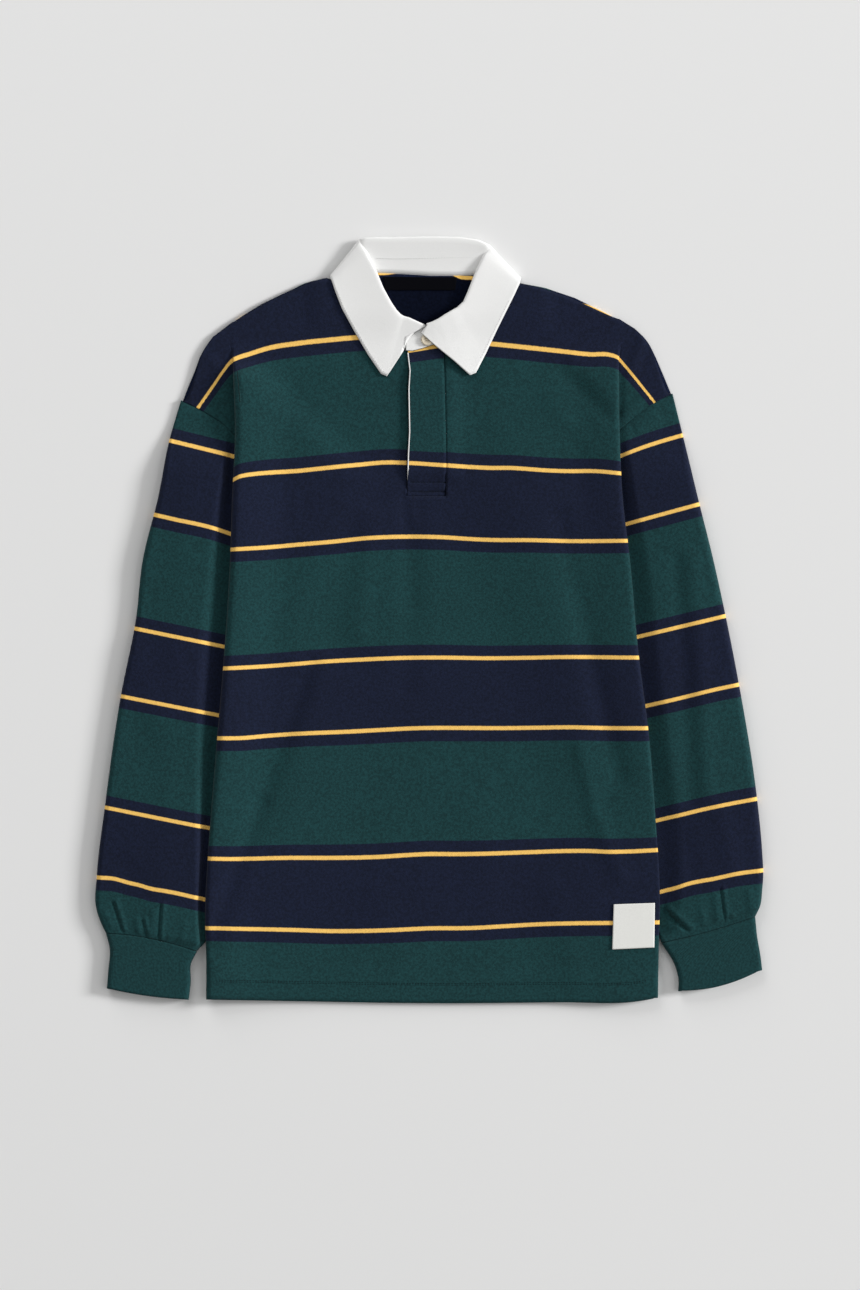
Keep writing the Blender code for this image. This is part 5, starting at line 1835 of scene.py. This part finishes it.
# %% Upper strip
SEWN_DIP = 1.0
SEWN_OUT = (-2.6, 2.6)
SEWN_TOP = (262.0, 12.0)
GROOVE_FROM = (1.0, 2.0)
GROOVE_WIDTH = 1.0
top_points = patch_on(placket_height, STRIP_TOP_LINES, 10, 60, CLOTH, TOP_ROOM)
sewn_edge = past(top_points[..., 0] - top_points[:, -1:, 0], *SEWN_OUT)
top_points[..., 2] -= SEWN_DIP * sewn_edge * before(top_points[..., 1], *SEWN_TOP)
from_left = past(top_points[..., 0] - top_points[:, :1, 0], *GROOVE_FROM)
for row_y in BOX_ROWS:
    groove = np.exp(-(((top_points[..., 1] - row_y) / GROOVE_WIDTH) ** 2))
    top_points[..., 2] -= BOX_GROOVE * groove * from_left
top_strip = cloth(
    "top_placket", top_points, CLOTH - SHELL_TRIM, JERSEY,
    stripes=body_stripes([NECK_LINE_STRIP, STRIP_LINE], top_points))
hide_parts("placket_top")

# %% [markdown]
# ## Band end, button, label and patch
#
# The last small pieces are laid on in the order in which they lie. The band end laps over the
# other front and carries the button. The label is sewn inside the back's neck, and the patch
# near the hem. Both are plain, so that whoever uses the part can put something of their own
# there. Each keeps a hair of air below it, because two faces in one place flicker.

# %% Band end and button
TAB_ROOM = 1.4
tab_points = patch_on(front_height, TAB_LINES, 8, 30, TWILL, TAB_ROOM)
tab = cloth("band_end", tab_points, TWILL - SHELL_TRIM, TWILL_WHITE)
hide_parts("collar_tab")

button_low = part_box("collar_button")[0][2] / MILLIMETRE
button = button_mesh("neck_button", (*BUTTON_AT, button_low), BUTTON_RESIN)
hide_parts("collar_button")

# %% Label and patch
LABEL_ROOM = CLOTH / 2 + REST
PATCH_ROOM = LABEL_ROOM + 0.2
label_points = patch_on(back_height, LABEL_LINES, 14, 60, LABEL, LABEL_ROOM)
label = cloth("bare_label", label_points, LABEL, LABEL_WEAVE)
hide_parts("neck_label")

patch_points = patch_on(front_height, PATCH_LINES, 40, 40, PATCH, PATCH_ROOM)
patch = cloth("bare_patch", patch_points, PATCH, PATCH_WEAVE)
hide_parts("hem_patch")

# %% [markdown]
# ## Stitches on the pieces
#
# Stitches show in three places: two close rows above the hem, two rows that box the placket's
# foot, and on the collar one row inside the leaf's edge and one along the stand. Each row is a
# path that asks its cloth for the height, so the thread rides over every crease. The hem and the
# placket are sewn in dark thread, which shows as fine points only, and the collar in white.

# %% Hem and placket stitches
HEM_STITCHES_UP = (18.2, 19.8)
hem_xs = np.linspace(-214, 217, 200)
hem_foot = curve(hem_xs, HEM_LINE["x"], HEM_LINE["y"])
hem_rows = [
    on_cloth(front_height, hem_xs, hem_foot + up, CLOTH / 2) for up in HEM_STITCHES_UP]
hem_sewing = stitching("hem_stitches", hem_rows, DARK_THREAD)

box_xs = np.linspace(-20.5, 15.5, 30)
box_above = TOP_ROOM + CLOTH - BOX_GROOVE
box_rows = [
    on_cloth(placket_height, box_xs, np.full(len(box_xs), y), box_above) for y in BOX_ROWS]
box_sewing = stitching("placket_stitches", box_rows, DARK_THREAD)

# %% Collar stitches
# Each slice holds the sections whose leaf edge shows at the front
EDGE_COLUMN = -2
RIGHT_LEAF = slice(12, 36)
LEFT_LEAF = slice(112, 128)
STAND_SEAM_Y = 361.6
STAND_SEAM_BOW = 0.6
STAND_SEAM_RISE = 0.38
lift = np.array([0.0, 0.0, TWILL / 2])
collar_rows = [collar_points[part, EDGE_COLUMN] + lift for part in (RIGHT_LEAF, LEFT_LEAF)]
stand_xs = np.linspace(-54, 46, 40)
stand_ys = STAND_SEAM_Y + STAND_SEAM_BOW * np.sin(stand_xs / 19)
stand_z = TWILL + 2 * COLLAR_FOLD + STAND_SEAM_RISE * COLLAR_RISE
collar_rows.append(np.stack([stand_xs, stand_ys, np.full(len(stand_xs), stand_z)], axis=-1))
collar_sewing = stitching("collar_stitches", collar_rows, WHITE_THREAD)

# %% [markdown]
# ## Hidden parts
#
# The parts of the shells that lie hidden under others are guesses, so their cut sizes are not
# worked out here.

# %% [markdown]
# ## Floor
#
# The garment lies on a light, matt ground. One large quad is enough, a hair below the cloth so
# that the two never share a face. It is no part of the garment.

# %% Floor
FLOOR_HALF = 2.5
FLOOR_Z = -0.0004
floor_mesh = bpy.data.meshes.new("floor")
corners = [(-FLOOR_HALF, -FLOOR_HALF), (FLOOR_HALF, -FLOOR_HALF),
           (FLOOR_HALF, FLOOR_HALF), (-FLOOR_HALF, FLOOR_HALF)]
floor_mesh.from_pydata([(x, y, FLOOR_Z) for x, y in corners], [], [(0, 1, 2, 3)])
floor_mesh.materials.append(plain_material("floor", (0.84, 0.84, 0.838, 1.0), 0.9, 0.1))
floor = bpy.data.objects.new("floor", floor_mesh)
bpy.context.scene.collection.objects.link(floor)

# %% [markdown]
# ## Light
#
# Folds in dark cloth show only in light that rakes across them. One strong soft light stands far
# out to the right and low, so that its shadows are even over the whole garment. Two weaker ones
# and a white world fill the shadows. A sun lamp would be simpler, but its shadows have hard
# edges. The Standard view keeps the white collar and the floor as light as they are.

# %% Light
CHEST = (0.0, -0.02, 0.0)
WORLD_STRENGTH = 0.285


def area_light(name, place, size, watts):
    """A square soft light that looks at the chest: tilted by the angle between it and down."""
    data = bpy.data.lights.new(name, "AREA")
    data.shape = "SQUARE"
    data.size = size
    data.energy = watts
    made = bpy.data.objects.new(name, data)
    made.location = place
    aim = np.array(CHEST) - np.array(place)
    flat = math.hypot(aim[0], aim[1])
    made.rotation_euler = (math.atan2(flat, -aim[2]), 0.0, math.atan2(aim[0], -aim[1]) + math.pi)
    bpy.context.scene.collection.objects.link(made)
    return made


area_light("key", (20.15, 4.29, 7.70), 4.6, 4700.0)
area_light("fill", (-2.4, 5.2, 2.6), 4.0, 140.0)
area_light("wide", (7.4, -1.0, 7.1), 7.2, 222.0)
world = bpy.data.worlds.new("studio")
world.use_nodes = True
world.node_tree.nodes["Background"].inputs["Color"].default_value = (1.0, 1.0, 0.995, 1.0)
world.node_tree.nodes["Background"].inputs["Strength"].default_value = WORLD_STRENGTH
bpy.context.scene.world = world
bpy.context.scene.view_settings.view_transform = "Standard"

# %% [markdown]
# ## Camera
#
# A flat lay is taken from straight above. An orthographic camera would show no depth at all, so
# this is a real lens, but from six metres up, where the folds' heights hardly shift anything. The
# lens follows from the camera's height and the length that the picture has to show.

# %% Camera
CAMERA_HEIGHT = 6.0
VIEW_HEIGHT = 1.29
camera_data = bpy.data.cameras.new("camera")
camera_data.sensor_width = 36.0
camera_data.sensor_fit = "AUTO"
camera_data.lens = camera_data.sensor_width * CAMERA_HEIGHT / VIEW_HEIGHT
camera = bpy.data.objects.new("camera", camera_data)
camera.location = (0.0, -0.025, CAMERA_HEIGHT)
bpy.context.scene.collection.objects.link(camera)
bpy.context.scene.camera = camera
print("lens:", round(camera_data.lens, 1), "mm")
